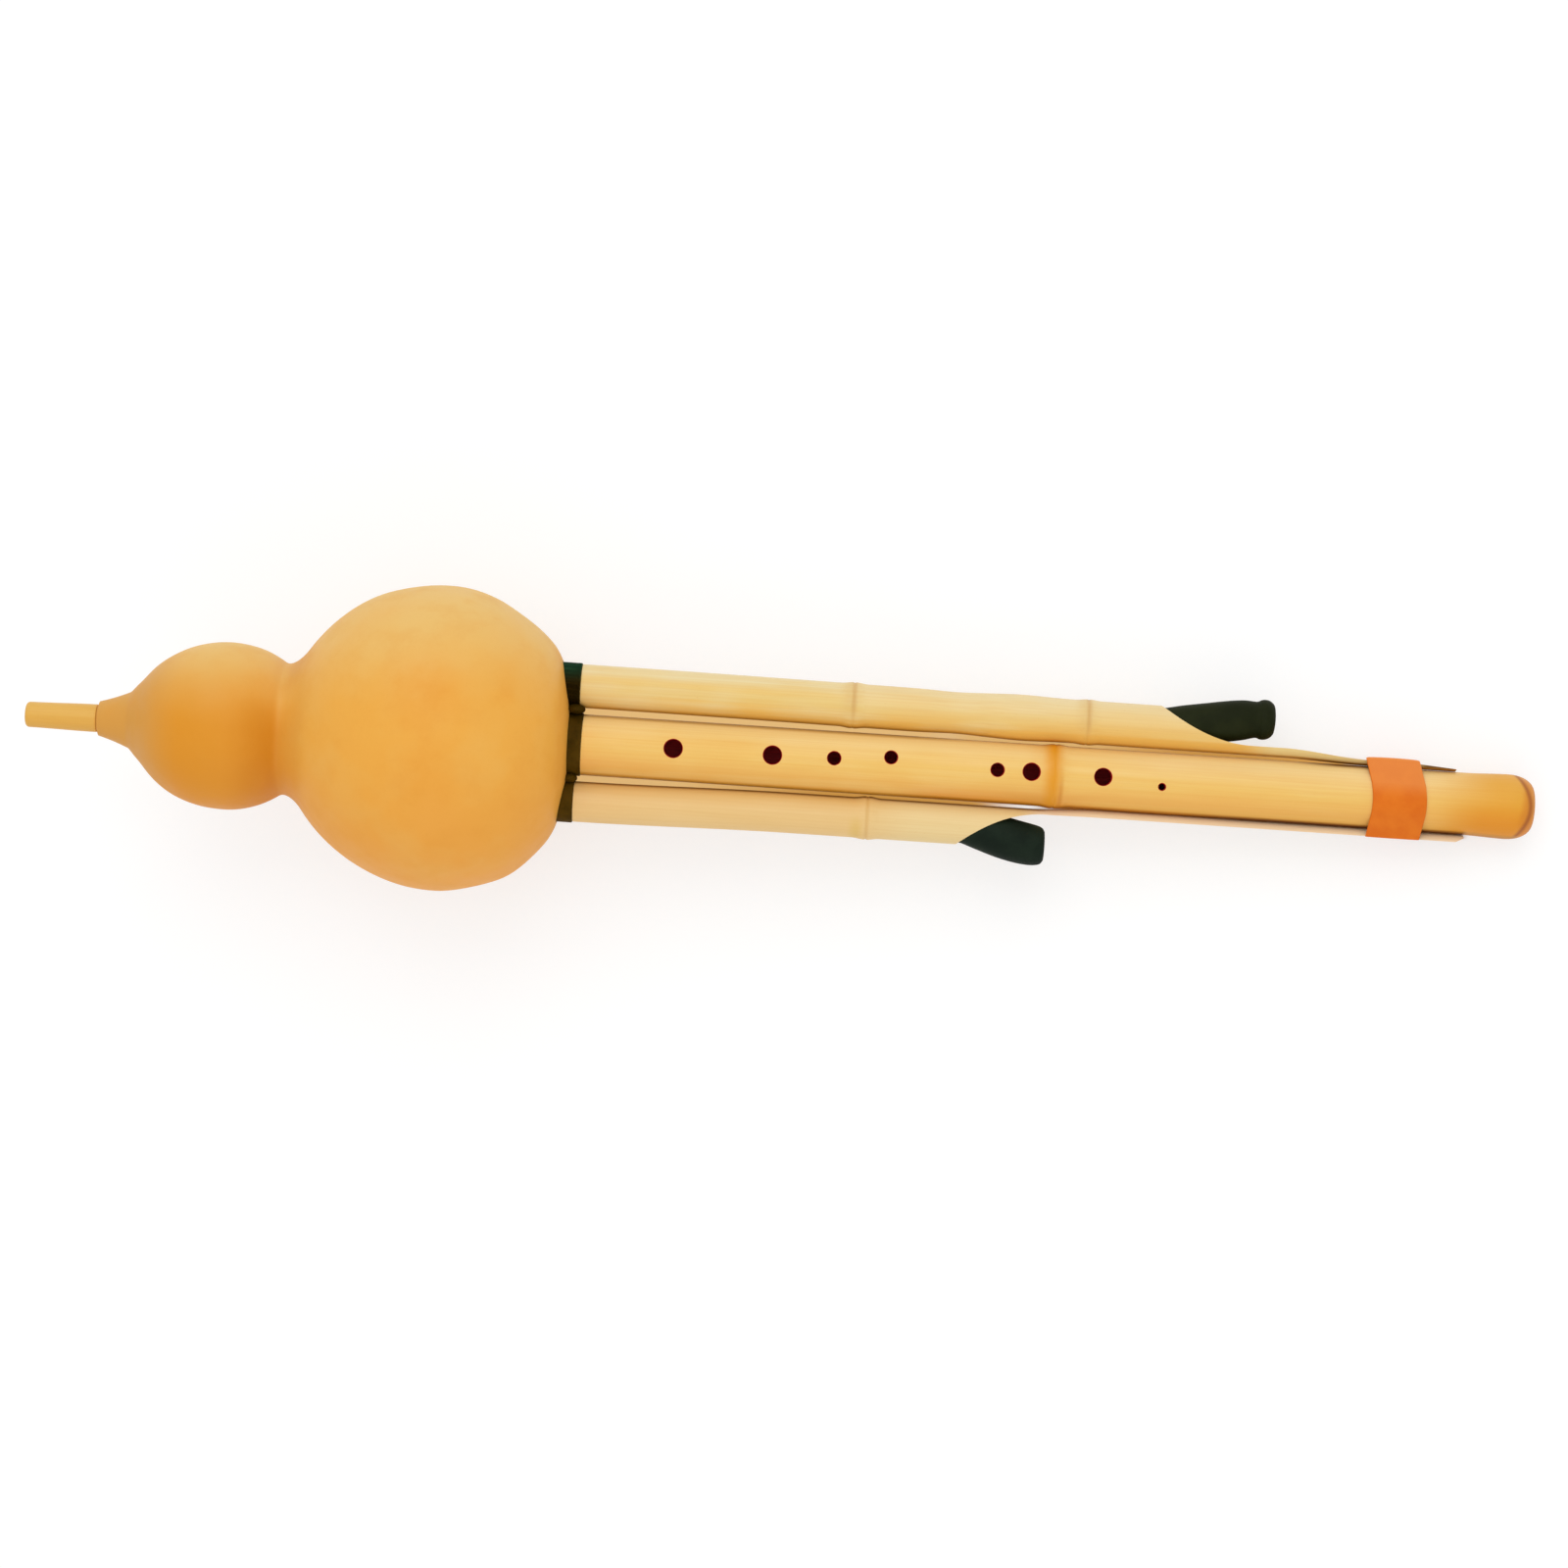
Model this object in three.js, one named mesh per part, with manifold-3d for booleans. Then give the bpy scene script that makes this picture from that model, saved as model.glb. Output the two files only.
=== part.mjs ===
// A hulusi, or gourd flute: a hollow gourd that holds three bamboo pipes with free reeds.
// Millimetres, +Z up. It lies on a table with its finger holes up.
//
// The pieces are made in the flute's own frame: +X runs along the main pipe from the gourd to
// the far end, x = 0 is the outer face of the main pipe's collar, +Y points to the long drone
// and +Z to the finger holes. The last lines lay the whole flute down.

import * as THREE from 'three';
import { mergeVertices } from 'three/addons/utils/BufferGeometryUtils.js';
import Module from 'manifold-3d';

const wasm = await Module();
wasm.setup();

// Fits and facets
const fit = 0.3;
const overrun = 1;
const weld = 0.0001;
const gourdFacets = 36;
const pipeFacets = 24;
const droneFacets = 20;
const holeFacets = 16;
const roundSteps = 4;
const scarfSteps = 8;
const bendSteps = 6;
const bandSteps = 48;
const neckSteps = 3;
const gourdSteps = { bulbSteps: 11, bellySteps: 15, baseSteps: 3 };
const insideSteps = { bulbSteps: 6, bellySteps: 8, baseSteps: 2 };

// The gourd, turned about its own axis. Its stations follow from the base toward the mouth.
// Its swellings are ellipses, but the belly narrows faster toward the waist: there its outline
// takes a higher power.
const ellipsePowerShare = 0.5;
const gourd = {
  wall: 3,
  baseReach: 3.9,
  baseRadius: 25.2,
  baseDrop: 3,
  bellyRadius: 43.3,
  bellyPowerShare: 0.54,
  baseToBelly: 36.4,
  waistRadius: 19.4,
  waistFillet: 12,
  bellyToWaist: 41.6,
  bulbRadius: 23.75,
  waistToBulb: 18.6,
  shoulderRadius: 9,
  bulbToShoulder: 25.7,
  neckRadius: 4.3,
  neckFillet: 5.2,
  neckEdge: 0.4,
  neckLength: 11.3,
  axisOffset: -0.55,
  lean: THREE.MathUtils.degToRad(0.49),
};
const baseStation = -gourd.baseReach;
const bellyStation = baseStation - gourd.baseToBelly;
const waistStation = bellyStation - gourd.bellyToWaist;
const bulbStation = waistStation - gourd.waistToBulb;
const shoulderStation = bulbStation - gourd.bulbToShoulder;
const neckStation = shoulderStation - gourd.neckLength;

// The mouthpiece tube, pushed into the gourd's neck
const mouthpiece = {
  length: 20.3,
  rootRadius: 3.85,
  tipRadius: 3.6,
  tipRound: 1,
  boreRadius: 2,
  spigotRadius: 3.2,
  spigotLength: 9,
};

// The collars: a sleeve in the gourd's base round each pipe, with a lip outside
const collar = {
  depth: 13,
  wall: 0.5,
  lip: 0.7,
  tenonStep: 0.5,
  edge: 0.4,
};

// A bamboo node lies a distance from the main pipe's far end. Its outline is in shares of its half
// length and of its rise.
const nodeShares = [[-1, 0], [-0.4, 0.55], [-0.12, 1], [0, 0.6], [0.12, 0.95], [0.45, 0.4], [1, 0]];

// The main pipe. Its holes lie at a station along the pipe and a little off its crest.
const mainPipe = {
  radius: 8.65,
  farRadius: 8.85,
  boreRadius: 6.2,
  insideLength: 58,
  length: 269.9,
  septum: 3,
  nodes: [{ fromEnd: 135.7, halfLength: 4.5, rise: 0.45 }],
  flareRadius: 9.2,
  flareLength: 12,
  endRound: 7,
  endRadius: 5,
  collarFace: 0,
  collarOffset: 0,
  facets: pipeFacets,
};
const flareStation = mainPipe.length - mainPipe.endRound;
const fingerHoles = [
  { station: 26.1, radius: 2.55, aside: 0.6 },
  { station: 54.1, radius: 2.55, aside: 0.6 },
  { station: 71.5, radius: 1.85, aside: 0.9 },
  { station: 87.5, radius: 1.8, aside: 2.2 },
  { station: 117.6, radius: 1.85, aside: 0.7 },
  { station: 127.2, radius: 2.4, aside: 0.8 },
  { station: 147.4, radius: 2.4, aside: 0.7 },
  { station: 164.1, radius: 0.95, aside: -1 },
];
const thumbHole = { station: 13, radius: 2.4, aside: 0 };

// The drones. Each is cut off on a slant past which a strip of its wall runs on, against the
// main pipe, under the band.
const longDrone = {
  radius: 6.2,
  farRadius: 6.2,
  boreRadius: 4.5,
  insideLength: 58,
  septum: 3,
  nodes: [
    { fromEnd: 193.8, halfLength: 4, rise: 0.4 },
    { fromEnd: 127.3, halfLength: 4, rise: 0.35 },
  ],
  collarFace: -1.3,
  collarOffset: 16.6,
  bodyOffset: 15.85,
  settleLength: 170,
  scarfMargin: 106.7,
  scarfLength: 26,
  stripThickness: 2.65,
  tailThickness: 1.6,
  tailBendShares: [0.15, 0.58],
  endMargin: 22.4,
  tailTaper: 13,
  tailEndThickness: 0.7,
  facets: droneFacets,
};
const shortDrone = {
  radius: 5.75,
  farRadius: 5.75,
  boreRadius: 4.2,
  insideLength: 54,
  septum: 3,
  nodes: [{ fromEnd: 188, halfLength: 4, rise: 0.45 }],
  collarFace: -1.4,
  collarOffset: 16.2,
  bodyOffset: 15.35,
  settleLength: 60,
  scarfMargin: 162.4,
  scarfLength: 24,
  stripThickness: 1.5,
  tailThickness: 1.5,
  tailBendShares: [-0.04, 0.14],
  endMargin: 19.1,
  tailTaper: 2.5,
  tailEndThickness: 0.9,
  facets: droneFacets,
};

// The stoppers that close the drones. A head's outline is in shares of its length and radius,
// and it leans away from the main pipe toward its end.
const longPlug = {
  stemLength: 20,
  headLength: 32.3,
  headRadius: 5.85,
  lean: 4.2,
  leanStart: 5,
  headShares: [[0.07, 0.93], [0.2, 0.99], [0.4, 1], [0.6, 1], [0.73, 0.97], [0.82, 0.89], [0.85, 0.89],
    [0.88, 0.96], [0.92, 0.97], [0.96, 0.89], [0.99, 0.72], [1, 0.5]],
};
const shortPlug = {
  stemLength: 18,
  headLength: 25,
  headRadius: 6.15,
  lean: 4.6,
  leanStart: 4,
  headShares: [[0.07, 0.8], [0.22, 0.9], [0.42, 0.98], [0.6, 1], [0.78, 0.98], [0.9, 0.93], [0.97, 0.84],
    [1, 0.68]],
};

// The reeds: a brass plate with a tongue cut free on three sides, on a flat over a window
const mainReed = {
  length: 27,
  width: 8,
  thickness: 0.6,
  tongueLength: 19,
  tongueRoot: 4.6,
  tongueTip: 2.4,
  slit: 0.35,
  flatDepth: 0.75,
  endMargin: 4,
};
const droneReed = {
  length: 22,
  width: 5.6,
  thickness: 0.5,
  tongueLength: 15,
  tongueRoot: 3,
  tongueTip: 1.5,
  slit: 0.35,
  flatDepth: 0.55,
  endMargin: 4,
};
const windowMargin = 0.8;

// The elastic band that binds the tails to the main pipe
const band = {
  endMargin: 31.3,
  width: 15.2,
  thickness: 0.5,
};

const materials = {
  gourd: new THREE.MeshStandardMaterial({ color: 0xe6a94e, roughness: 0.45, metalness: 0 }),
  bamboo: new THREE.MeshStandardMaterial({ color: 0xe9be6c, roughness: 0.4, metalness: 0 }),
  paleBamboo: new THREE.MeshStandardMaterial({ color: 0xe7c98c, roughness: 0.45, metalness: 0 }),
  darkRubber: new THREE.MeshStandardMaterial({ color: 0x1f2a1b, roughness: 0.5, metalness: 0 }),
  orangeRubber: new THREE.MeshStandardMaterial({ color: 0xe4762f, roughness: 0.6, metalness: 0 }),
  brass: new THREE.MeshStandardMaterial({ color: 0xc9a04a, roughness: 0.3, metalness: 1 }),
};

// Turns a closed geometry into a solid that can be cut and joined.
function toSolid(geometry) {
  geometry.deleteAttribute('normal');
  geometry.deleteAttribute('uv');
  const merged = mergeVertices(geometry, weld);
  const index = merged.getIndex().array;
  const corners = [];
  for (let i = 0; i < index.length; i += 3) {
    const [a, b, c] = index.slice(i, i + 3);
    if (a !== b && b !== c && c !== a) {
      corners.push(a, b, c);
    }
  }
  const mesh = new wasm.Mesh({
    numProp: 3,
    vertProperties: new Float32Array(merged.getAttribute('position').array),
    triVerts: new Uint32Array(corners),
  });
  return new wasm.Manifold(mesh);
}

function toGeometry(solid) {
  const mesh = solid.getMesh();
  const geometry = new THREE.BufferGeometry();
  const positions = new Float32Array(mesh.vertProperties);
  geometry.setAttribute('position', new THREE.BufferAttribute(positions, 3));
  geometry.setIndex(new THREE.BufferAttribute(new Uint32Array(mesh.triVerts), 1));
  geometry.computeVertexNormals();
  return geometry;
}

// Turns an outline of [x, radius] pairs about the X axis, with a facet square to Z.
function turned(outline, facets) {
  const points = outline.map(([x, radius]) => new THREE.Vector2(radius, x));
  const geometry = new THREE.LatheGeometry(points, facets, Math.PI / facets);
  return geometry.rotateZ(-Math.PI / 2);
}

function rod(from, to, radius, facets) {
  return turned([[from, 0], [from, radius], [to, radius], [to, 0]], facets);
}

// A block from one corner to the other.
function block(low, high) {
  const size = high.map((value, axis) => value - low[axis]);
  const middle = high.map((value, axis) => (value + low[axis]) / 2);
  return new THREE.BoxGeometry(...size).translate(...middle);
}

// Adds a sideways shift, which depends on x, to each corner of a geometry.
function shifted(geometry, shiftAt) {
  const position = geometry.getAttribute('position');
  for (let i = 0; i < position.count; i += 1) {
    position.setY(i, position.getY(i) + shiftAt(position.getX(i)));
  }
  geometry.computeVertexNormals();
  return geometry;
}

function steps(from, to, count) {
  const list = [];
  for (let i = 0; i <= count; i += 1) {
    list.push(THREE.MathUtils.lerp(from, to, i / count));
  }
  return list;
}

// The larger of two values, rounded over where they are within the blend of each other.
function smoothMax(a, b, blend) {
  const near = Math.max(blend - Math.abs(a - b), 0);
  return Math.max(a, b) + fillAtCrossing(blend) * (near / blend) ** 2;
}

// How far a blend fills the corner where two outlines cross.
function fillAtCrossing(blend) {
  return blend / 4;
}

// The half length of a swelling that has the given radius at the given distance from its middle.
function halfLength(distance, radius, middleRadius, powerShare = ellipsePowerShare) {
  return distance / Math.sqrt(1 - (radius / middleRadius) ** (1 / powerShare));
}

// The gourd's two swellings, drawn in by the inset.
function gourdLobes(inset) {
  const bellyRadius = gourd.bellyRadius - inset;
  const bulbRadius = gourd.bulbRadius - inset;
  const waistRadius = gourd.waistRadius - fillAtCrossing(gourd.waistFillet) - inset;
  const baseDistance = gourd.baseToBelly - gourd.baseDrop - inset;
  const shoulderDistance = gourd.bulbToShoulder - inset;
  const belly = {
    station: bellyStation,
    radius: bellyRadius,
    front: halfLength(gourd.bellyToWaist, waistRadius, bellyRadius, gourd.bellyPowerShare),
    frontPowerShare: gourd.bellyPowerShare,
    rear: halfLength(baseDistance, gourd.baseRadius - inset, bellyRadius),
  };
  const bulb = {
    station: bulbStation,
    radius: bulbRadius,
    front: halfLength(shoulderDistance, gourd.shoulderRadius - inset, bulbRadius),
    frontPowerShare: ellipsePowerShare,
    rear: halfLength(gourd.waistToBulb, waistRadius, bulbRadius),
  };
  return { belly, bulb };
}

function lobeRadius(lobe, x) {
  const inFront = x < lobe.station;
  const share = (x - lobe.station) / (inFront ? lobe.front : lobe.rear);
  const powerShare = inFront ? lobe.frontPowerShare : ellipsePowerShare;
  return lobe.radius * Math.max(1 - share * share, 0) ** powerShare;
}

function lobeStation(lobe, angle) {
  const reach = angle < Math.PI / 2 ? lobe.front : lobe.rear;
  return lobe.station - reach * Math.cos(angle);
}

// The radius of the gourd's outline at x, drawn in by the inset. The neck meets the bulb in a hollow.
function gourdRadius(x, inset) {
  const { belly, bulb } = gourdLobes(inset);
  const body = smoothMax(lobeRadius(bulb, x), lobeRadius(belly, x), gourd.waistFillet);
  const alongNeck = THREE.MathUtils.clamp((x - neckStation) / gourd.neckLength, 0, 1);
  const neck = THREE.MathUtils.lerp(gourd.neckRadius, gourd.shoulderRadius, alongNeck);
  return smoothMax(body, neck - inset, gourd.neckFillet);
}

// The outside of the neck's hollow, from where the bulb's ellipse would end to the shoulder.
function hollowOutline() {
  const { bulb } = gourdLobes(0);
  return steps(bulb.station - bulb.front, shoulderStation, neckSteps).slice(0, -1).map((x) => {
    return [x, gourdRadius(x, 0)];
  });
}

// The gourd's outline from its shoulder to the middle of its base, drawn in by the inset.
function gourdOutline(inset, counts) {
  const { belly, bulb } = gourdLobes(inset);
  const baseRadius = gourd.baseRadius - inset;
  const shoulderAngle = Math.asin((gourd.shoulderRadius - inset) / bulb.radius);
  const bulbWaistAngle = Math.PI - Math.acos(gourd.waistToBulb / bulb.rear);
  const bellyWaistAngle = Math.acos(gourd.bellyToWaist / belly.front);
  const rimAngle = Math.PI - Math.asin(baseRadius / belly.radius);
  const stations = [
    ...steps(shoulderAngle, bulbWaistAngle, counts.bulbSteps).map((angle) => lobeStation(bulb, angle)),
    ...steps(bellyWaistAngle, rimAngle, counts.bellySteps).slice(1).map((angle) => lobeStation(belly, angle)),
  ];
  const wall = stations.map((x) => [x, gourdRadius(x, inset)]);
  const base = steps(1, 0, counts.baseSteps).slice(1).map((share) => {
    return [baseStation - inset - gourd.baseDrop * share * share, baseRadius * share];
  });
  return [...wall, ...base];
}

// Puts a geometry made about the X axis onto the gourd's leaning axis.
function onGourdAxis(geometry) {
  return geometry.rotateZ(gourd.lean).translate(0, gourd.axisOffset, 0);
}

function makeGourd() {
  const neckBore = mouthpiece.spigotRadius + fit;
  const boreEnd = neckStation + mouthpiece.spigotLength + fit;
  const shell = toSolid(onGourdAxis(turned([
    ...gourdOutline(gourd.wall, insideSteps).reverse(),
    [boreEnd, neckBore],
    [neckStation, neckBore],
    [neckStation, gourd.neckRadius - gourd.neckEdge],
    [neckStation + gourd.neckEdge, gourd.neckRadius],
    ...hollowOutline(),
    ...gourdOutline(0, gourdSteps),
  ], gourdFacets)));
  return [mainPipe, longDrone, shortDrone].reduce((solid, pipe) => {
    const hole = rod(bellyStation, overrun, sleeveRadius(pipe) + fit, pipe.facets);
    return solid.subtract(toSolid(hole.translate(0, collarPlace(pipe), 0)));
  }, shell);
}

function makeMouthpiece() {
  const { boreRadius, rootRadius, spigotRadius, tipRadius, tipRound } = mouthpiece;
  const tip = neckStation - mouthpiece.length;
  const shoulder = neckStation - fit;
  const spigotEnd = neckStation + mouthpiece.spigotLength;
  const rounded = steps(0, Math.PI / 2, roundSteps).map((angle) => {
    return [tip + tipRound * (1 - Math.sin(angle)), tipRadius - tipRound * (1 - Math.cos(angle))];
  });
  return toSolid(onGourdAxis(turned([
    [spigotEnd, boreRadius],
    [tip, boreRadius],
    ...rounded.reverse(),
    [shoulder, rootRadius],
    [shoulder, spigotRadius],
    [spigotEnd, spigotRadius],
    [spigotEnd, boreRadius],
  ], droneFacets)));
}

// A pipe's y place at the gourd. The short drone lies on the other side of the main pipe.
function collarPlace(pipe) {
  return pipe === shortDrone ? -pipe.collarOffset : pipe.collarOffset;
}

function tenonRadius(pipe) {
  return pipe.radius - collar.tenonStep;
}

function sleeveRadius(pipe) {
  return tenonRadius(pipe) + fit + collar.wall;
}

// A collar: the sleeve through the gourd's base, and the lip that fits the base's round.
function makeCollar(pipe) {
  const bore = tenonRadius(pipe) + fit;
  const sleeve = sleeveRadius(pipe);
  const lip = pipe.radius + collar.lip;
  const face = pipe.collarFace;
  const inner = face - collar.depth;
  const place = collarPlace(pipe);
  const lipRing = toSolid(turned([
    [inner, 0], [inner, lip], [face - collar.edge, lip], [face, lip - collar.edge], [face, 0],
  ], pipe.facets).translate(0, place, 0));
  const gourdRound = toSolid(onGourdAxis(turned([
    [shoulderStation, 0], ...gourdOutline(-fit, gourdSteps),
  ], gourdFacets)));
  const tube = toSolid(rod(inner, face - collar.edge, sleeve, pipe.facets).translate(0, place, 0));
  const hole = toSolid(rod(inner - overrun, face + overrun, bore, pipe.facets).translate(0, place, 0));
  return lipRing.subtract(gourdRound).add(tube).subtract(hole);
}

function pipeRadius(pipe, x) {
  const reach = pipe === mainPipe ? mainPipe.length : tailEnd(pipe);
  return THREE.MathUtils.lerp(pipe.radius, pipe.farRadius, x / reach);
}

function nodeStation(node) {
  return mainPipe.length - node.fromEnd;
}

// How far the nodes of a pipe stand proud at x.
function nodeRise(pipe, x) {
  for (const node of pipe.nodes) {
    const share = (x - nodeStation(node)) / node.halfLength;
    const next = nodeShares.findIndex(([place]) => place > share);
    if (share >= -1 && next > 0) {
      const [fromPlace, fromRise] = nodeShares[next - 1];
      const [toPlace, toRise] = nodeShares[next];
      const part = (share - fromPlace) / (toPlace - fromPlace);
      return node.rise * THREE.MathUtils.lerp(fromRise, toRise, part);
    }
  }
  return 0;
}

// The outside of a bamboo pipe from its shoulder at the collar to x = to.
function bambooOutline(pipe, to, extraStations) {
  const from = pipe.collarFace + fit;
  const nodeStations = pipe.nodes.flatMap((node) => {
    return nodeShares.map(([place]) => nodeStation(node) + place * node.halfLength);
  });
  const stations = [from, ...nodeStations, ...extraStations, to].sort((a, b) => a - b);
  return stations.map((x) => [x, pipeRadius(pipe, x) + nodeRise(pipe, x)]);
}

// The part of a pipe's outline that lies in the gourd, closed by the bamboo's own node.
function tenonOutline(pipe) {
  const end = -pipe.insideLength;
  const radius = tenonRadius(pipe);
  return [
    [end, 0],
    [end, radius - collar.edge],
    [end + collar.edge, radius],
    [pipe.collarFace + fit, radius],
  ];
}

// The flat and the window that a reed covers, cut on the +Y side of a pipe along X.
function reedSeat(pipe, reed) {
  const flat = tenonRadius(pipe) - reed.flatDepth;
  const from = -pipe.insideLength + pipe.septum + reed.endMargin;
  const halfWindow = reed.tongueRoot / 2 + windowMargin;
  const windowFrom = from + (reed.length - reed.tongueLength) / 2;
  const reach = pipe.radius + overrun;
  const planed = block([from - fit, flat, -reach], [from + reed.length + fit, reach, reach]);
  const window = block(
    [windowFrom, 0, -halfWindow],
    [windowFrom + reed.tongueLength + windowMargin, reach, halfWindow],
  );
  return { flat, from, windowFrom, cut: toSolid(planed).add(toSolid(window)) };
}

// A reed plate with its tongue, lying on its seat on the +Y side of a pipe along X.
function reedPlate(pipe, reed) {
  const { flat, from, windowFrom } = reedSeat(pipe, reed);
  const plate = new THREE.Shape();
  plate.moveTo(from, -reed.width / 2);
  plate.lineTo(from + reed.length, -reed.width / 2);
  plate.lineTo(from + reed.length, reed.width / 2);
  plate.lineTo(from, reed.width / 2);
  plate.closePath();
  const tip = windowFrom + reed.tongueLength;
  const halfRoot = reed.tongueRoot / 2;
  const halfTip = reed.tongueTip / 2;
  const slit = new THREE.Path();
  slit.moveTo(windowFrom, halfRoot);
  slit.lineTo(tip, halfTip);
  slit.lineTo(tip, -halfTip);
  slit.lineTo(windowFrom, -halfRoot);
  slit.lineTo(windowFrom, -halfRoot - reed.slit);
  slit.lineTo(tip + reed.slit, -halfTip - reed.slit);
  slit.lineTo(tip + reed.slit, halfTip + reed.slit);
  slit.lineTo(windowFrom, halfRoot + reed.slit);
  slit.closePath();
  plate.holes.push(slit);
  const geometry = new THREE.ExtrudeGeometry(plate, { depth: reed.thickness, bevelEnabled: false });
  return geometry.rotateX(-Math.PI / 2).translate(0, flat + fit, 0);
}

// A drill through one wall of the main pipe, on the side that the sign gives.
function holeDrill(hole, side) {
  const depth = mainPipe.flareRadius + overrun;
  const geometry = new THREE.CylinderGeometry(hole.radius, hole.radius, depth, holeFacets);
  return toSolid(geometry.rotateX(Math.PI / 2).translate(hole.station, hole.aside, side * depth / 2));
}

function makeMainPipe() {
  const { boreRadius, endRadius, farRadius, flareRadius, length, septum } = mainPipe;
  const endRound = steps(0, Math.PI / 2, roundSteps).map((angle) => {
    const x = flareStation + (length - flareStation) * Math.sin(angle);
    return [x, endRadius + (flareRadius - endRadius) * Math.cos(angle)];
  });
  const outside = toSolid(turned([
    ...tenonOutline(mainPipe),
    ...bambooOutline(mainPipe, flareStation - mainPipe.flareLength, []),
    [flareStation - mainPipe.flareLength / 2, (farRadius + flareRadius) / 2],
    ...endRound,
    [length, 0],
  ], mainPipe.facets));
  const bore = toSolid(rod(septum - mainPipe.insideLength, length - septum, boreRadius, mainPipe.facets));
  const seat = reedSeat(mainPipe, mainReed).cut.rotate([90, 0, 0]);
  const drills = fingerHoles.map((hole) => holeDrill(hole, 1));
  const cuts = [bore, seat, ...drills, holeDrill(thumbHole, -1)];
  return cuts.reduce((solid, cut) => solid.subtract(cut), outside);
}

function scarfStation(drone) {
  return mainPipe.length - drone.scarfMargin;
}

function tailEnd(drone) {
  return mainPipe.length - drone.endMargin;
}

// Where a drone's tail starts and stops leaning in to the main pipe, from shares of the tail's length.
function tailBend(drone) {
  const tailStart = scarfStation(drone) + drone.scarfLength;
  return drone.tailBendShares.map((share) => THREE.MathUtils.lerp(tailStart, tailEnd(drone), share));
}

// How far a drone's axis lies from the main pipe's axis at x.
function droneOffset(drone, x) {
  const settled = THREE.MathUtils.smoothstep(x, 0, drone.settleLength);
  const body = THREE.MathUtils.lerp(drone.collarOffset, drone.bodyOffset, settled);
  const end = tailEnd(drone);
  const tail = pipeRadius(mainPipe, end) + fit + pipeRadius(drone, end);
  return THREE.MathUtils.lerp(body, tail, THREE.MathUtils.smoothstep(x, ...tailBend(drone)));
}

function easeStations(drone) {
  return steps(0, drone.settleLength, bendSteps).slice(1);
}

function bendStations(drone) {
  return steps(...tailBend(drone), bendSteps);
}

// Moves a geometry made about the X axis onto a drone's curved axis.
function onDroneAxis(drone, geometry) {
  return shifted(geometry, (x) => droneOffset(drone, x));
}

// A round rod on a drone's curved axis.
function droneRod(drone, from, to, radius) {
  const between = [0, ...easeStations(drone), ...bendStations(drone)].filter((x) => x > from && x < to);
  const stations = [from, ...between.sort((a, b) => a - b), to];
  const outline = [[from, 0], ...stations.map((x) => [x, radius]), [to, 0]];
  return toSolid(onDroneAxis(drone, turned(outline, drone.facets)));
}

// How thick the strip of a drone's tail is at x. It thins as it leans in to the main pipe.
function tailThickness(drone, x) {
  const leant = THREE.MathUtils.smoothstep(x, ...tailBend(drone));
  return THREE.MathUtils.lerp(drone.stripThickness, drone.tailThickness, leant);
}

// What the slanting cut takes off a drone. The lift raises the cut.
function scarfOpening(drone, lift) {
  const start = scarfStation(drone) + lift;
  const tip = tailEnd(drone);
  const wall = lift - pipeRadius(drone, tip);
  const strip = drone.stripThickness + wall;
  const crest = drone.farRadius + lift;
  const slant = steps(0, 1, scarfSteps).map((share) => {
    return [start + drone.scarfLength * share, strip + (crest - strip) * (1 - share) ** 2];
  });
  const bend = bendStations(drone).filter((x) => x > start + drone.scarfLength);
  const edge = [...slant, ...[...bend, tip - drone.tailTaper].map((x) => [x, tailThickness(drone, x) + wall])];
  edge.push(...[tip, tip + overrun].map((x) => [x, drone.tailEndThickness + wall]));
  const points = edge.map(([x, y]) => new THREE.Vector2(x, y + droneOffset(drone, x)));
  const top = 2 * drone.collarOffset;
  const outline = new THREE.Shape([
    ...points,
    new THREE.Vector2(tip + overrun, top),
    new THREE.Vector2(start, top),
  ]);
  const depth = 2 * (drone.farRadius + overrun);
  const geometry = new THREE.ExtrudeGeometry(outline, { depth, bevelEnabled: false });
  return toSolid(geometry.translate(0, 0, -depth / 2));
}

// A drone on the +Y side, with its slanting cut facing away from the main pipe.
function makeDrone(drone) {
  const end = tailEnd(drone);
  const outline = bambooOutline(drone, end, [...easeStations(drone), ...bendStations(drone)]);
  const profile = [...tenonOutline(drone), ...outline, [end, 0]];
  const outside = toSolid(onDroneAxis(drone, turned(profile, drone.facets)));
  const seat = reedSeat(drone, droneReed).cut.translate([0, drone.collarOffset, 0]);
  const boreStart = drone.septum - drone.insideLength;
  const bore = droneRod(drone, boreStart, end + overrun, drone.boreRadius);
  return outside.subtract(bore).subtract(scarfOpening(drone, 0)).subtract(seat);
}

// A stopper: a stem in the drone's bore and a head that rests on the slanting cut.
function makePlug(drone, plug) {
  const start = scarfStation(drone);
  const leanFrom = start - plug.leanStart;
  const leanTo = start + plug.headLength;
  const stemRadius = drone.boreRadius - fit;
  const stemStart = start - plug.stemLength;
  const stemEnd = start + plug.headLength / 2;
  const place = droneOffset(drone, start);
  const headOutline = turned([
    [start - plug.leanStart, 0],
    [start - plug.leanStart, stemRadius],
    ...plug.headShares.map(([along, out]) => [start + plug.headLength * along, plug.headRadius * out]),
    [leanTo, 0],
  ], drone.facets);
  const head = toSolid(shifted(headOutline, (x) => {
    return place + plug.lean * THREE.MathUtils.smoothstep(x, leanFrom, leanTo);
  }));
  const kept = droneRod(drone, stemStart - overrun, tailEnd(drone), drone.farRadius + fit);
  const stem = toSolid(turned([
    [stemStart, 0],
    [stemStart, stemRadius - collar.edge],
    [stemStart + collar.edge, stemRadius],
    [stemEnd, stemRadius],
    [stemEnd, 0],
  ], drone.facets).translate(0, place, 0));
  return head.subtract(kept.subtract(scarfOpening(drone, fit))).add(stem);
}

function bandStation() {
  return mainPipe.length - band.endMargin - band.width;
}

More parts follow.
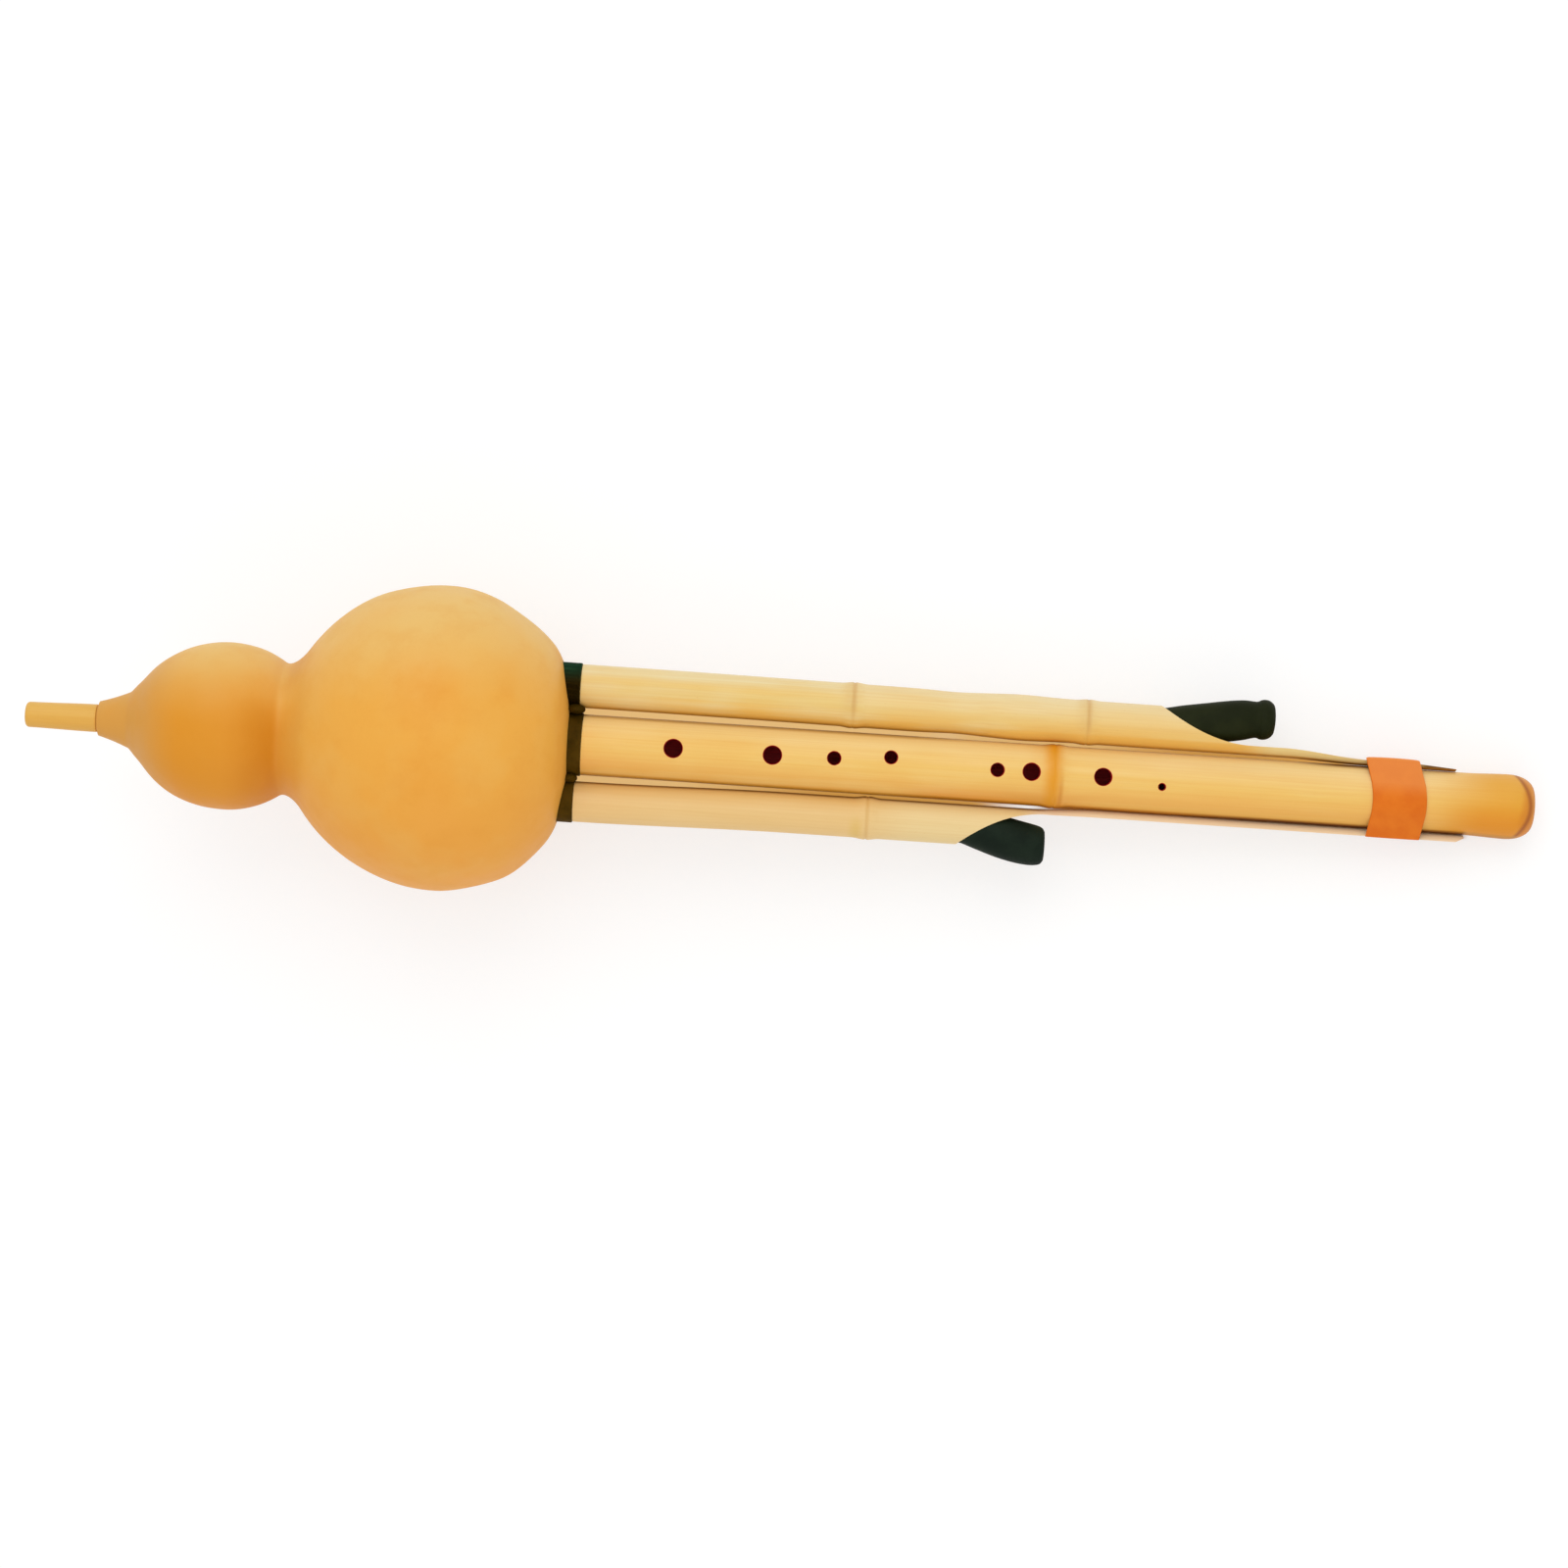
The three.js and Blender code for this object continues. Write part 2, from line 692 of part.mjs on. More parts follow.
// The band's section, which wraps the main pipe and the edges of both tails at a distance.
function bandOutline(distance) {
  const middle = bandStation() + band.width / 2;
  const rims = [longDrone, shortDrone].flatMap((drone) => {
    const radius = pipeRadius(drone, middle);
    const side = drone === shortDrone ? -1 : 1;
    const thickness = tailThickness(drone, middle);
    const rim = side * (droneOffset(drone, middle) - radius + thickness);
    const halfChord = Math.sqrt(radius ** 2 - (radius - thickness) ** 2);
    return [{ y: rim, z: halfChord, radius: distance }, { y: rim, z: -halfChord, radius: distance }];
  });
  const discs = [{ y: 0, z: 0, radius: pipeRadius(mainPipe, middle) + distance }, ...rims];
  return steps(0, 2 * Math.PI, bandSteps).slice(1).map((angle) => {
    const [z, y] = [Math.cos(angle), Math.sin(angle)];
    const reach = (disc) => disc.y * y + disc.z * z + disc.radius;
    const outer = discs.reduce((best, disc) => (reach(disc) > reach(best) ? disc : best));
    return new THREE.Vector2(outer.z + outer.radius * z, outer.y + outer.radius * y);
  });
}

function makeBand() {
  const section = new THREE.Shape(bandOutline(fit + band.thickness));
  section.holes.push(new THREE.Path(bandOutline(fit)));
  const geometry = new THREE.ExtrudeGeometry(section, { depth: band.width, bevelEnabled: false });
  return toSolid(geometry.rotateY(Math.PI / 2).translate(bandStation(), 0, 0));
}

function piece(name, shape, material) {
  const geometry = shape instanceof THREE.BufferGeometry ? shape : toGeometry(shape);
  const mesh = new THREE.Mesh(geometry, material);
  mesh.name = name;
  return mesh;
}

// The pieces of the short drone are made like the long drone's and turned to the other side.
function onShortSide(mesh) {
  mesh.rotation.x = Math.PI;
  return mesh;
}

function droneReedPiece(name, drone) {
  const plate = reedPlate(drone, droneReed).translate(0, drone.collarOffset, 0);
  return piece(name, toSolid(plate), materials.brass);
}

// The pitch at which the gourd's belly and the rim of the main pipe both touch a table.
function restPitch() {
  const run = flareStation - bellyStation;
  const bellyRear = gourdLobes(0).belly.rear;
  const bellyRadius = gourd.bellyRadius * Math.cos(Math.PI / gourdFacets);
  const rimRadius = mainPipe.flareRadius * Math.cos(Math.PI / pipeFacets);
  const a = run ** 2 - bellyRear ** 2;
  const b = run * rimRadius;
  const c = bellyRadius ** 2 - rimRadius ** 2;
  return Math.atan((Math.sqrt(b ** 2 + a * c) - b) / a);
}

const flute = new THREE.Group();
flute.add(
  piece('gourd_chamber', makeGourd(), materials.gourd),
  piece('mouthpiece_tube', makeMouthpiece(), materials.bamboo),
  piece('main_pipe', makeMainPipe(), materials.bamboo),
  piece('long_drone_pipe', makeDrone(longDrone), materials.paleBamboo),
  onShortSide(piece('short_drone_pipe', makeDrone(shortDrone), materials.paleBamboo)),
  piece('main_collar', makeCollar(mainPipe), materials.darkRubber),
  piece('long_drone_collar', makeCollar(longDrone), materials.darkRubber),
  piece('short_drone_collar', makeCollar(shortDrone), materials.darkRubber),
  piece('main_reed', toSolid(reedPlate(mainPipe, mainReed).rotateX(Math.PI / 2)), materials.brass),
  droneReedPiece('long_drone_reed', longDrone),
  onShortSide(droneReedPiece('short_drone_reed', shortDrone)),
  piece('long_drone_plug', makePlug(longDrone, longPlug), materials.darkRubber),
  onShortSide(piece('short_drone_plug', makePlug(shortDrone, shortPlug), materials.darkRubber)),
  piece('binding_band', makeBand(), materials.orangeRubber),
);
flute.rotation.y = restPitch();

// Lays the flute on z = 0 with its footprint's middle at the origin.
const hulusi = new THREE.Group();
hulusi.add(flute);
const bounds = new THREE.Box3().setFromObject(hulusi, true);
const middle = bounds.getCenter(new THREE.Vector3());
flute.position.set(-middle.x, -middle.y, -bounds.min.z);

export default hulusi;
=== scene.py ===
# The looks of the hulusi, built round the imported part.
# Shapes are in millimetres in the flute's own frame: +X runs along the main pipe from the gourd to
# the far end, +Y points to the long drone and +Z to the finger holes. FLUTE puts that frame in
# the world, in metres.

import math
from types import SimpleNamespace as Values

import bmesh
import bpy
from mathutils import Matrix, Vector, noise


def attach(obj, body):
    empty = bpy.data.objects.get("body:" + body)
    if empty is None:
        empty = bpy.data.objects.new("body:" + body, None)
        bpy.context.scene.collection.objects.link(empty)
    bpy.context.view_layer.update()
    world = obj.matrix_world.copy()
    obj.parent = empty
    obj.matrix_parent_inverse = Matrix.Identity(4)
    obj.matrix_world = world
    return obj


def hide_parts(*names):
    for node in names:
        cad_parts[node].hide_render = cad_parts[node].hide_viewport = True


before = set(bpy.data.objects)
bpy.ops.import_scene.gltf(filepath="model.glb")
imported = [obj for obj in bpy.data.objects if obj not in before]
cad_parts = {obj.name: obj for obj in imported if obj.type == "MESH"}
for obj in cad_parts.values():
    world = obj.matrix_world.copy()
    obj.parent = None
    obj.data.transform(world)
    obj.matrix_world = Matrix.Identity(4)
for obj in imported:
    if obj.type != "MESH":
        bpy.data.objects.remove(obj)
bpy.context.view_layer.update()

MM = 0.001
FIT = 0.3
SKIN_GAP = 0.05
OVERRUN = 1
WELD = 0.0005
SHARP_ANGLE = math.radians(32)
FACETS = Values(gourd=144, pipe=96, hole=48, band=144, bead=32)
PACKED_FACETS = Values(gourd=36, pipe=24)
STEPS = Values(
    round=6, lip=5, inner_lobe=24, lobe=48, neck=24, mouthpiece=12, pipe=120, node=48, flare=12, end=10,
    scarf=32, tail=48, head=5, swell=14,
)

GOURD = Values(
    wall=3, base_reach=3.3, base_radius=25.2, base_drop=3.6, belly_radius=43.3, belly_power=0.54,
    base_to_belly=37, waist_radius=19.4, waist_fillet=12, belly_to_waist=41.6, bulb_radius=23.75,
    waist_to_bulb=18.6, shoulder_radius=9, bulb_to_shoulder=25.7, neck_radius=3.9, neck_fillet=5.2,
    neck_edge=0.25, neck_length=11.3, axis_offset=-0.55, lean=math.radians(0.49),
)
BASE = -GOURD.base_reach
BELLY = BASE - GOURD.base_to_belly
WAIST = BELLY - GOURD.belly_to_waist
BULB = WAIST - GOURD.waist_to_bulb
SHOULDER = BULB - GOURD.bulb_to_shoulder
NECK = SHOULDER - GOURD.neck_length

# The gourd's unevenness. A wave has a height and a frequency per millimetre, and a sway moves the skin
# along Y. Near the base, the neck and the axis they grow from none to all between two places.
UNEVENNESS = Values(
    waves=[(0.3, 0.045), (0.12, 0.12)],
    sways=[Values(station=-64, width=14, rise=0.6), Values(station=-15, width=9, rise=-0.9)],
    near_base=(-6, -22), near_neck=(NECK + 3, NECK + 24), near_axis=(3, 8),
)

MOUTHPIECE = Values(
    length=20.3, root_radius=3.95, root_edge=0.3, tip_radius=3.6, tip_round=1, bore_radius=2,
    bore_edge=0.5, spigot_radius=3.2, spigot_length=9,
)
COLLAR = Values(depth=13, wall=0.5, lip=0.3, tenon_step=0.5, edge=0.25)

MAIN = Values(
    radius=8.65, far_radius=8.85, bore_radius=6.2, inside_length=58, length=269.9, septum=3,
    nodes=[Values(station=134.2, half_length=4.5, rise=0.45)], swells=[],
    flare_radius=9.2, flare_length=12, flare_station=262.9, end_radius=5, collar_face=0, place=0,
    bead=None,
)
HOLES = [
    Values(station=26.1, radius=2.55, aside=0.6),
    Values(station=54.1, radius=2.55, aside=0.6),
    Values(station=71.5, radius=1.85, aside=0.9),
    Values(station=87.5, radius=1.8, aside=2.2),
    Values(station=117.6, radius=1.85, aside=0.7),
    Values(station=127.2, radius=2.4, aside=0.8),
    Values(station=147.4, radius=2.4, aside=0.7),
    Values(station=164.1, radius=0.95, aside=-1),
]
THUMB_HOLE = Values(station=13, radius=2.4, aside=0)
DRILL = Values(lip=0.22, least_height=0.5)
NODE_GROOVE = Values(depth_share=0.45, width_share=0.09)

LONG = Values(
    radius=6.2, far_radius=6.2, bore_radius=4.5, inside_length=58, septum=3,
    nodes=[Values(station=76.1, half_length=4, rise=0.4), Values(station=142.6, half_length=4, rise=0.35)],
    swells=[Values(station=124, width=8, rise=0.35), Values(station=105, width=7, rise=-0.3)],
    collar_face=-1.3, place=16.6, body_offset=15.85, settle_length=170, scarf_station=163.2,
    scarf_length=26, strip_thickness=2.65, tail_thickness=1.6, tail_bend_station=197.95,
    tail_bend_length=25.07, tail_taper_station=234.5, tail_end=247.5, tail_end_thickness=0.7, side=1,
    bead=Values(middle=(-2.2, 9.9, 3), reach=(2.7, 1.5, 3.4)), band_share=1,
)
SHORT = Values(
    radius=5.75, far_radius=5.75, bore_radius=4.2, inside_length=54, septum=3,
    nodes=[Values(station=81.9, half_length=4, rise=0.45)], swells=[],
    collar_face=-1.4, place=16.2, body_offset=15.35, settle_length=60, scarf_station=107.5,
    scarf_length=24, strip_thickness=1.5, tail_thickness=2.1, tail_bend_station=126.73,
    tail_bend_length=21.47, tail_taper_station=248.3, tail_end=250.8, tail_end_thickness=0.9, side=-1,
    bead=Values(middle=(-2.8, -9.6, 2), reach=(2.2, 1.4, 3.6)), band_share=0.2,
)
LONG_PLUG = Values(
    stem_length=20, stem_edge=0.8, head_length=32.3, head_radius=5.85, lean=4.2, lean_start=5,
    head_shares=[(0.07, 0.93), (0.2, 0.99), (0.4, 1), (0.6, 1), (0.73, 0.97), (0.82, 0.89), (0.85, 0.89),
                 (0.88, 0.96), (0.92, 0.97), (0.96, 0.89), (0.99, 0.72), (1, 0.5)],
)
SHORT_PLUG = Values(
    stem_length=18, stem_edge=0.8, head_length=25, head_radius=6.15, lean=4.6, lean_start=4,
    head_shares=[(0.07, 0.8), (0.22, 0.9), (0.42, 0.98), (0.6, 1), (0.78, 0.98), (0.9, 0.93), (0.97, 0.84),
                 (1, 0.68)],
)
MAIN_REED = Values(length=27, tongue_length=19, tongue_root=4.6, flat_depth=0.75, end_margin=4)
DRONE_REED = Values(length=22, tongue_length=15, tongue_root=3, flat_depth=0.55, end_margin=4)
WINDOW_MARGIN = 0.8
BAND = Values(
    station=223.4, width=15.2, thickness=0.5, edge=0.3, swell=0.3, reach=11.3, lead=0.05, skew=0.6,
    bow=1.4, lean=0.16,
)


def lerp(start, end, share):
    return start + (end - start) * share


def steps(start, end, count):
    return [lerp(start, end, i / count) for i in range(count + 1)]


def smoothstep(x, start, end):
    share = min(max((x - start) / (end - start), 0), 1)
    return share * share * (3 - 2 * share)


def bell(x, middle, width):
    return math.exp(-(((x - middle) / width) ** 2))


def corner(x, radius, edge, turn_from, turn_to):
    """Points of a rounded corner about the point x, radius of an outline, from one angle to another."""
    return [(x + edge * math.cos(a), radius + edge * math.sin(a))
            for a in steps(turn_from, turn_to, STEPS.round)]


# The gourd's outline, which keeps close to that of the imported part

def half_length(distance, radius, middle_radius, power=0.5):
    """The half length of a lobe that has shrunk to a radius at a distance from its middle."""
    return distance / math.sqrt(1 - (radius / middle_radius) ** (1 / power))


def gourd_lobes(inset):
    """The belly and the bulb, each with its middle, its radius there and its half lengths."""
    belly_radius = GOURD.belly_radius - inset
    bulb_radius = GOURD.bulb_radius - inset
    waist_radius = GOURD.waist_radius - GOURD.waist_fillet / 4 - inset
    base_distance = GOURD.base_to_belly - GOURD.base_drop - inset
    belly = Values(
        station=BELLY, radius=belly_radius,
        front=half_length(GOURD.belly_to_waist, waist_radius, belly_radius, GOURD.belly_power),
        front_power=GOURD.belly_power,
        rear=half_length(base_distance, GOURD.base_radius - inset, belly_radius),
    )
    bulb = Values(
        station=BULB, radius=bulb_radius,
        front=half_length(GOURD.bulb_to_shoulder - inset, GOURD.shoulder_radius - inset, bulb_radius),
        front_power=0.5,
        rear=half_length(GOURD.waist_to_bulb, waist_radius, bulb_radius),
    )
    return belly, bulb


def lobe_radius(lobe, x):
    in_front = x < lobe.station
    share = (x - lobe.station) / (lobe.front if in_front else lobe.rear)
    return lobe.radius * max(1 - share * share, 0) ** (lobe.front_power if in_front else 0.5)


def lobe_station(lobe, angle):
    return lobe.station - (lobe.front if angle < math.pi / 2 else lobe.rear) * math.cos(angle)


def smooth_max(a, b, blend):
    near = max(blend - abs(a - b), 0)
    return max(a, b) + near * near / (4 * blend)


def gourd_radius(x, inset):
    """The radius of the gourd's outline at x. The neck meets the bulb in a hollow."""
    belly, bulb = gourd_lobes(inset)
    body = smooth_max(lobe_radius(bulb, x), lobe_radius(belly, x), GOURD.waist_fillet)
    along_neck = min(max((x - NECK) / GOURD.neck_length, 0), 1)
    neck = lerp(GOURD.neck_radius, GOURD.shoulder_radius, along_neck) - inset
    return smooth_max(body, neck, GOURD.neck_fillet)


def rounded_rim(outline, rim):
    """Rounds off the rim between the wall and the base, from two points before it to two after."""
    start, middle, end = (Vector(outline[i]) for i in (rim - 2, rim, rim + 2))
    curve = [start.lerp(middle, t).lerp(middle.lerp(end, t), t) for t in steps(0, 1, STEPS.round)]
    return outline[:rim - 2] + [tuple(point) for point in curve] + outline[rim + 3:]


def gourd_outline(inset, count):
    """The outline from the shoulder to the middle of the base, with count steps for each lobe."""
    belly, bulb = gourd_lobes(inset)
    shoulder = math.asin((GOURD.shoulder_radius - inset) / bulb.radius)
    bulb_waist = math.pi - math.acos(GOURD.waist_to_bulb / bulb.rear)
    belly_waist = math.acos(GOURD.belly_to_waist / belly.front)
    rim = math.pi - math.asin((GOURD.base_radius - inset) / belly.radius)
    stations = [lobe_station(bulb, a) for a in steps(shoulder, bulb_waist, count)]
    stations += [lobe_station(belly, a) for a in steps(belly_waist, rim, count)[1:]]
    wall = [(x, gourd_radius(x, inset)) for x in stations]
    base = [(BASE - inset - GOURD.base_drop * share * share, (GOURD.base_radius - inset) * share)
            for share in steps(1, 0, count // 3)[1:]]
    return rounded_rim(wall + base, len(wall) - 1)


def rest_pitch():
    """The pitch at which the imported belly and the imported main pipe's rim touch the table."""
    run = MAIN.flare_station - BELLY
    belly_radius = GOURD.belly_radius * math.cos(math.pi / PACKED_FACETS.gourd)
    rim_radius = MAIN.flare_radius * math.cos(math.pi / PACKED_FACETS.pipe)
    a = run ** 2 - gourd_lobes(0)[0].rear ** 2
    b = run * rim_radius
    return math.atan((math.sqrt(b ** 2 + a * (belly_radius ** 2 - rim_radius ** 2)) - b) / a)


def flute_matrix():
    """The flute's frame in the world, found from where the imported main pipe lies."""
    turn = Matrix.Rotation(rest_pitch(), 4, "Y")
    corners = [turn.inverted() @ v.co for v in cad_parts["main_pipe"].data.vertices]
    low = [min(p[i] for p in corners) for i in range(3)]
    high = [max(p[i] for p in corners) for i in range(3)]
    origin = Vector((high[0] - MAIN.length * MM, (low[1] + high[1]) / 2, (low[2] + high[2]) / 2))
    return turn @ Matrix.Translation(origin)


FLUTE = flute_matrix()
QUARTER_TURN = Matrix.Rotation(math.pi / 2, 4, "X")
HALF_TURN = Matrix.Rotation(math.pi, 4, "X")


# Meshes

def straight(x, radius, angle):
    return Vector((x, radius * math.cos(angle), radius * math.sin(angle)))


def shifted(distance):
    """Puts points about an axis that lies beside the main pipe's, at a distance that x gives."""
    return lambda x, radius, angle: straight(x, radius, angle) + Vector((0, distance(x), 0))


def placed(name, data):
    """A new object in the scene."""
    made = bpy.data.objects.new(name, data)
    bpy.context.scene.collection.objects.link(made)
    return made


def meshed(name, bm, material):
    mesh = bpy.data.meshes.new(name)
    bm.to_mesh(mesh)
    bm.free()
    mesh.materials.append(material)
    return placed(name, mesh)


def new_object(name, bm, material):
    """An object of a mesh that was made in millimetres."""
    bmesh.ops.remove_doubles(bm, verts=bm.verts, dist=WELD)
    bmesh.ops.scale(bm, vec=Vector((MM, MM, MM)), verts=bm.verts)
    bmesh.ops.recalc_face_normals(bm, faces=bm.faces)
    return meshed(name, bm, material)


def joined_rings(name, rings, material, loop=False):
    """Joins rings of points into one closed mesh. A ring of one point is a tip."""
    bm = bmesh.new()
    made = [[bm.verts.new(point) for point in ring] for ring in rings]
    for a, b in zip(made, made[1:] + made[:1] if loop else made[1:]):
        count = max(len(a), len(b))
        for i in range(count):
            j = (i + 1) % count
            if len(a) == 1:
                bm.faces.new((a[0], b[j], b[i]))
            elif len(b) == 1:
                bm.faces.new((a[i], a[j], b[0]))
            else:
                bm.faces.new((a[i], a[j], b[j], b[i]))
    return new_object(name, bm, material)


def revolved(name, outline, facets, material, place=straight, loop=False):
    """Turns an outline of (x, radius) pairs about the pipe's axis. place gives the point at each angle."""
    rings = []
    for x, radius in outline:
        angles = [0] if radius == 0 else [2 * math.pi * i / facets for i in range(facets)]
        rings.append([place(x, radius, angle) for angle in angles])
    return joined_rings(name, rings, material, loop)


def rod(start, end, radius, material, place=straight, stations=()):
    """A rod along the pipe, with a ring at each of the stations that lies on it."""
    inner = sorted(x for x in stations if start < x < end)
    outline = [(start, 0), *[(x, radius) for x in [start, *inner, end]], (end, 0)]
    return revolved("rod", outline, FACETS.pipe, material, place)


def block(low, high, material):
    bm = bmesh.new()
    bmesh.ops.create_cube(bm, size=1)
    for vert in bm.verts:
        vert.co = Vector([lerp(low[i], high[i], vert.co[i] + 0.5) for i in range(3)])
    return new_object("block", bm, material)


def extruded(outline, depth, material):
    """An outline of (x, y) pairs, extruded to both sides of z = 0."""
    bm = bmesh.new()
    under = [bm.verts.new((x, y, -depth / 2)) for x, y in outline]
    over = [bm.verts.new((x, y, depth / 2)) for x, y in outline]
    bm.faces.new(under)
    bm.faces.new(over)
    for i in range(len(outline)):
        j = (i + 1) % len(outline)
        bm.faces.new((under[i], under[j], over[j], over[i]))
    return new_object("prism", bm, material)


def combine(piece, other, operation):
    """Joins or cuts a piece with another object, which is then removed."""
    modifier = piece.modifiers.new("combine", "BOOLEAN")
    modifier.operation = operation
    modifier.solver = "EXACT"
    modifier.material_mode = "TRANSFER"
    modifier.object = other
    bpy.context.view_layer.update()
    depsgraph = bpy.context.evaluated_depsgraph_get()
    mesh = bpy.data.meshes.new_from_object(piece.evaluated_get(depsgraph))
    piece.modifiers.clear()
    piece.data = mesh
    bpy.data.objects.remove(other)
    return piece


def cut(piece, *cutters):
    for cutter in cutters:
        combine(piece, cutter, "DIFFERENCE")
    return piece


def moved(piece, matrix):
    piece.data.transform(matrix)
    return piece


def finished(piece, name, node, body="flute"):
    """Lays a piece down with the flute, smooths it and lets it replace its CAD node."""
    piece.data.transform(FLUTE)
    piece.name = name
    piece.data.name = name
    piece.data.shade_smooth()
    piece.data.set_sharp_from_angle(angle=SHARP_ANGLE)
    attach(piece, body)
    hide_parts(node)
    return piece


# Material nodes

def linear(red, green, blue):
    """A colour written in 8-bit sRGB, as the linear colour that a shader takes."""
    shares = [value / 255 for value in (red, green, blue)]
    return [s / 12.92 if s <= 0.04045 else ((s + 0.055) / 1.055) ** 2.4 for s in shares] + [1]


def fill(tree, node, inputs):
    """Gives sockets of a node their values, or links where another node gives them."""
    for key, value in inputs.items():
        if isinstance(value, bpy.types.NodeSocket):
            tree.links.new(value, node.inputs[key])
        else:
            node.inputs[key].default_value = value
    return node


def add(tree, kind, inputs=None, **settings):
    made = tree.nodes.new("ShaderNode" + kind)
    for name, value in settings.items():
        setattr(made, name, value)
    return fill(tree, made, inputs or {})


def calc(tree, operation, *values):
    return add(tree, "Math", dict(enumerate(values)), operation=operation).outputs[0]


def product(tree, *values):
    result = values[0]
    for value in values[1:]:
        result = calc(tree, "MULTIPLY", result, value)
    return result


def stretched(tree, scale):
    """Coordinates in the flute's frame, in millimetres, times a scale for each axis."""
    coordinates = add(tree, "TexCoord").outputs["Object"]
    place, turn, _ = FLUTE.decompose()
    inputs = {"Vector": coordinates, "Location": place, "Rotation": turn.to_euler(), "Scale": (MM, MM, MM)}
    in_flute = add(tree, "Mapping", inputs, vector_type="TEXTURE").outputs[0]
    return add(tree, "VectorMath", {0: in_flute, 1: scale}, operation="MULTIPLY").outputs[0]


def place_of(tree, axis):
    """A place along one axis of the flute, in millimetres."""
    return add(tree, "SeparateXYZ", {0: stretched(tree, (1, 1, 1))}).outputs[axis]


def grain(along, across, detail=4, roughness=0.55):
    """A noise, with its frequencies per millimetre along the flute and across it."""
    return Values(scale=(along, across, across), detail=detail, roughness=roughness)


def noise_at(tree, kind):
    inputs = {"Vector": stretched(tree, kind.scale), "Scale": 1, "Detail": kind.detail}
    inputs["Roughness"] = kind.roughness
    return add(tree, "TexNoise", inputs).outputs[0]


def between(tree, value, low, high, to_low=0.0, to_high=1.0):
    """Maps a value smoothly from one range to another."""
    inputs = {"Value": value, "From Min": low, "From Max": high, "To Min": to_low, "To Max": to_high}
    return add(tree, "MapRange", inputs, interpolation_type="SMOOTHSTEP").outputs[0]


def tint(tree, share, base, over):
    """Mixes two colours. Each is another node's, or written in 8-bit sRGB."""
    base, over = (c if isinstance(c, bpy.types.NodeSocket) else linear(*c) for c in (base, over))
    return add(tree, "Mix", {"Factor": share, 6: base, 7: over}, data_type="RGBA").outputs[2]


def side_share(tree, start, end):
    """0 to 1 as the surface turns from facing start to facing end along Y, which are -1 to 1."""
    facing = add(tree, "SeparateXYZ", {0: add(tree, "TexCoord").outputs["Normal"]}).outputs["Y"]
    return between(tree, facing, start, end)


def along(tree, start, full):
    """0 to 1 from one station along the pipe to another."""
    return between(tree, place_of(tree, "X"), start, full)


def patch_mask(tree, middle, reach):
    """1 at a point of the flute, and 0 farther from it than the reach."""
    inputs = {0: stretched(tree, (1, 1, 1)), 1: middle}
    away = add(tree, "VectorMath", inputs, operation="DISTANCE").outputs["Value"]
    return between(tree, away, reach, 0)


def ring_mask(tree, station, reach, bow):
    """1 at a station, and 0 farther from it than the reach. The bow is the ring's curve in 1/mm."""
    across = place_of(tree, "Y")
    bowed = calc(tree, "ADD", place_of(tree, "X"), product(tree, across, across, bow))
    away = calc(tree, "ABSOLUTE", calc(tree, "SUBTRACT", bowed, station))
    return between(tree, away, reach, 0)


def bump(tree, height, depth):
    """The normal of a rough surface, with its depth in millimetres."""
    inputs = {"Height": height, "Strength": 1, "Distance": depth * MM}
    return add(tree, "Bump", inputs).outputs[0]


def new_material(name):
    material = bpy.data.materials.new(name)
    material.use_nodes = True
    tree = material.node_tree
    shader = tree.nodes["Principled BSDF"]
    return material, tree, shader


# Zones, marks and edge shades colour a part of a piece; edge shades are painted shade. Their sides are the
# facings along Y, -1 to 1, that give them none and all of their share.

BOTH_SIDES = (-2, -1.5)
DOWN_SIDE = (0.3, -0.6)
UP_FLANK = (0.86, 0.98)
DOWN_FLANK = (-0.86, -0.98)
ALL_ALONG = (-60, -50)


def new_zone(start, full, share, colour, sides=BOTH_SIDES):
    """A stretch that begins at one station and has its full share from another on."""
    return Values(start=start, full=full, share=share, colour=colour, sides=sides)


def new_mark(station, reach, share, colour, sides=BOTH_SIDES, bow=0):
    """A ring round a piece, which may be bowed."""
    return Values(station=station, reach=reach, share=share, colour=colour, sides=sides, bow=bow)


def new_edge_shade(sides, colour, start=ALL_ALONG, end=ALL_ALONG):
    """A line of painted shade along a flank, where a pipe turns away beside its neighbour."""
    return Values(sides=sides, colour=colour, start=start, end=end)


def toned(tree, tones, sides, wander):
    """Runs through the painted light and shade of the tones, from -Y to +Y. The wander blurs where they
    meet.
    """
    colour = tones[0]
    for tone, side in zip(tones[1:], sides):
        share = calc(tree, "ADD", side_share(tree, *side), wander)
        colour = tint(tree, share, colour, tone)
    return colour


def zoned(tree, colour, station, zones):
    for zone in zones:
        share = between(tree, station, zone.start, zone.full, to_high=zone.share)
        colour = tint(tree, product(tree, share, side_share(tree, *zone.sides)), colour, zone.colour)
    return colour


def marked(tree, colour, marks):
    for mark in marks:
        ring = ring_mask(tree, mark.station, mark.reach, mark.bow)
        share = product(tree, ring, side_share(tree, *mark.sides), mark.share)
        colour = tint(tree, share, colour, mark.colour)
    return colour
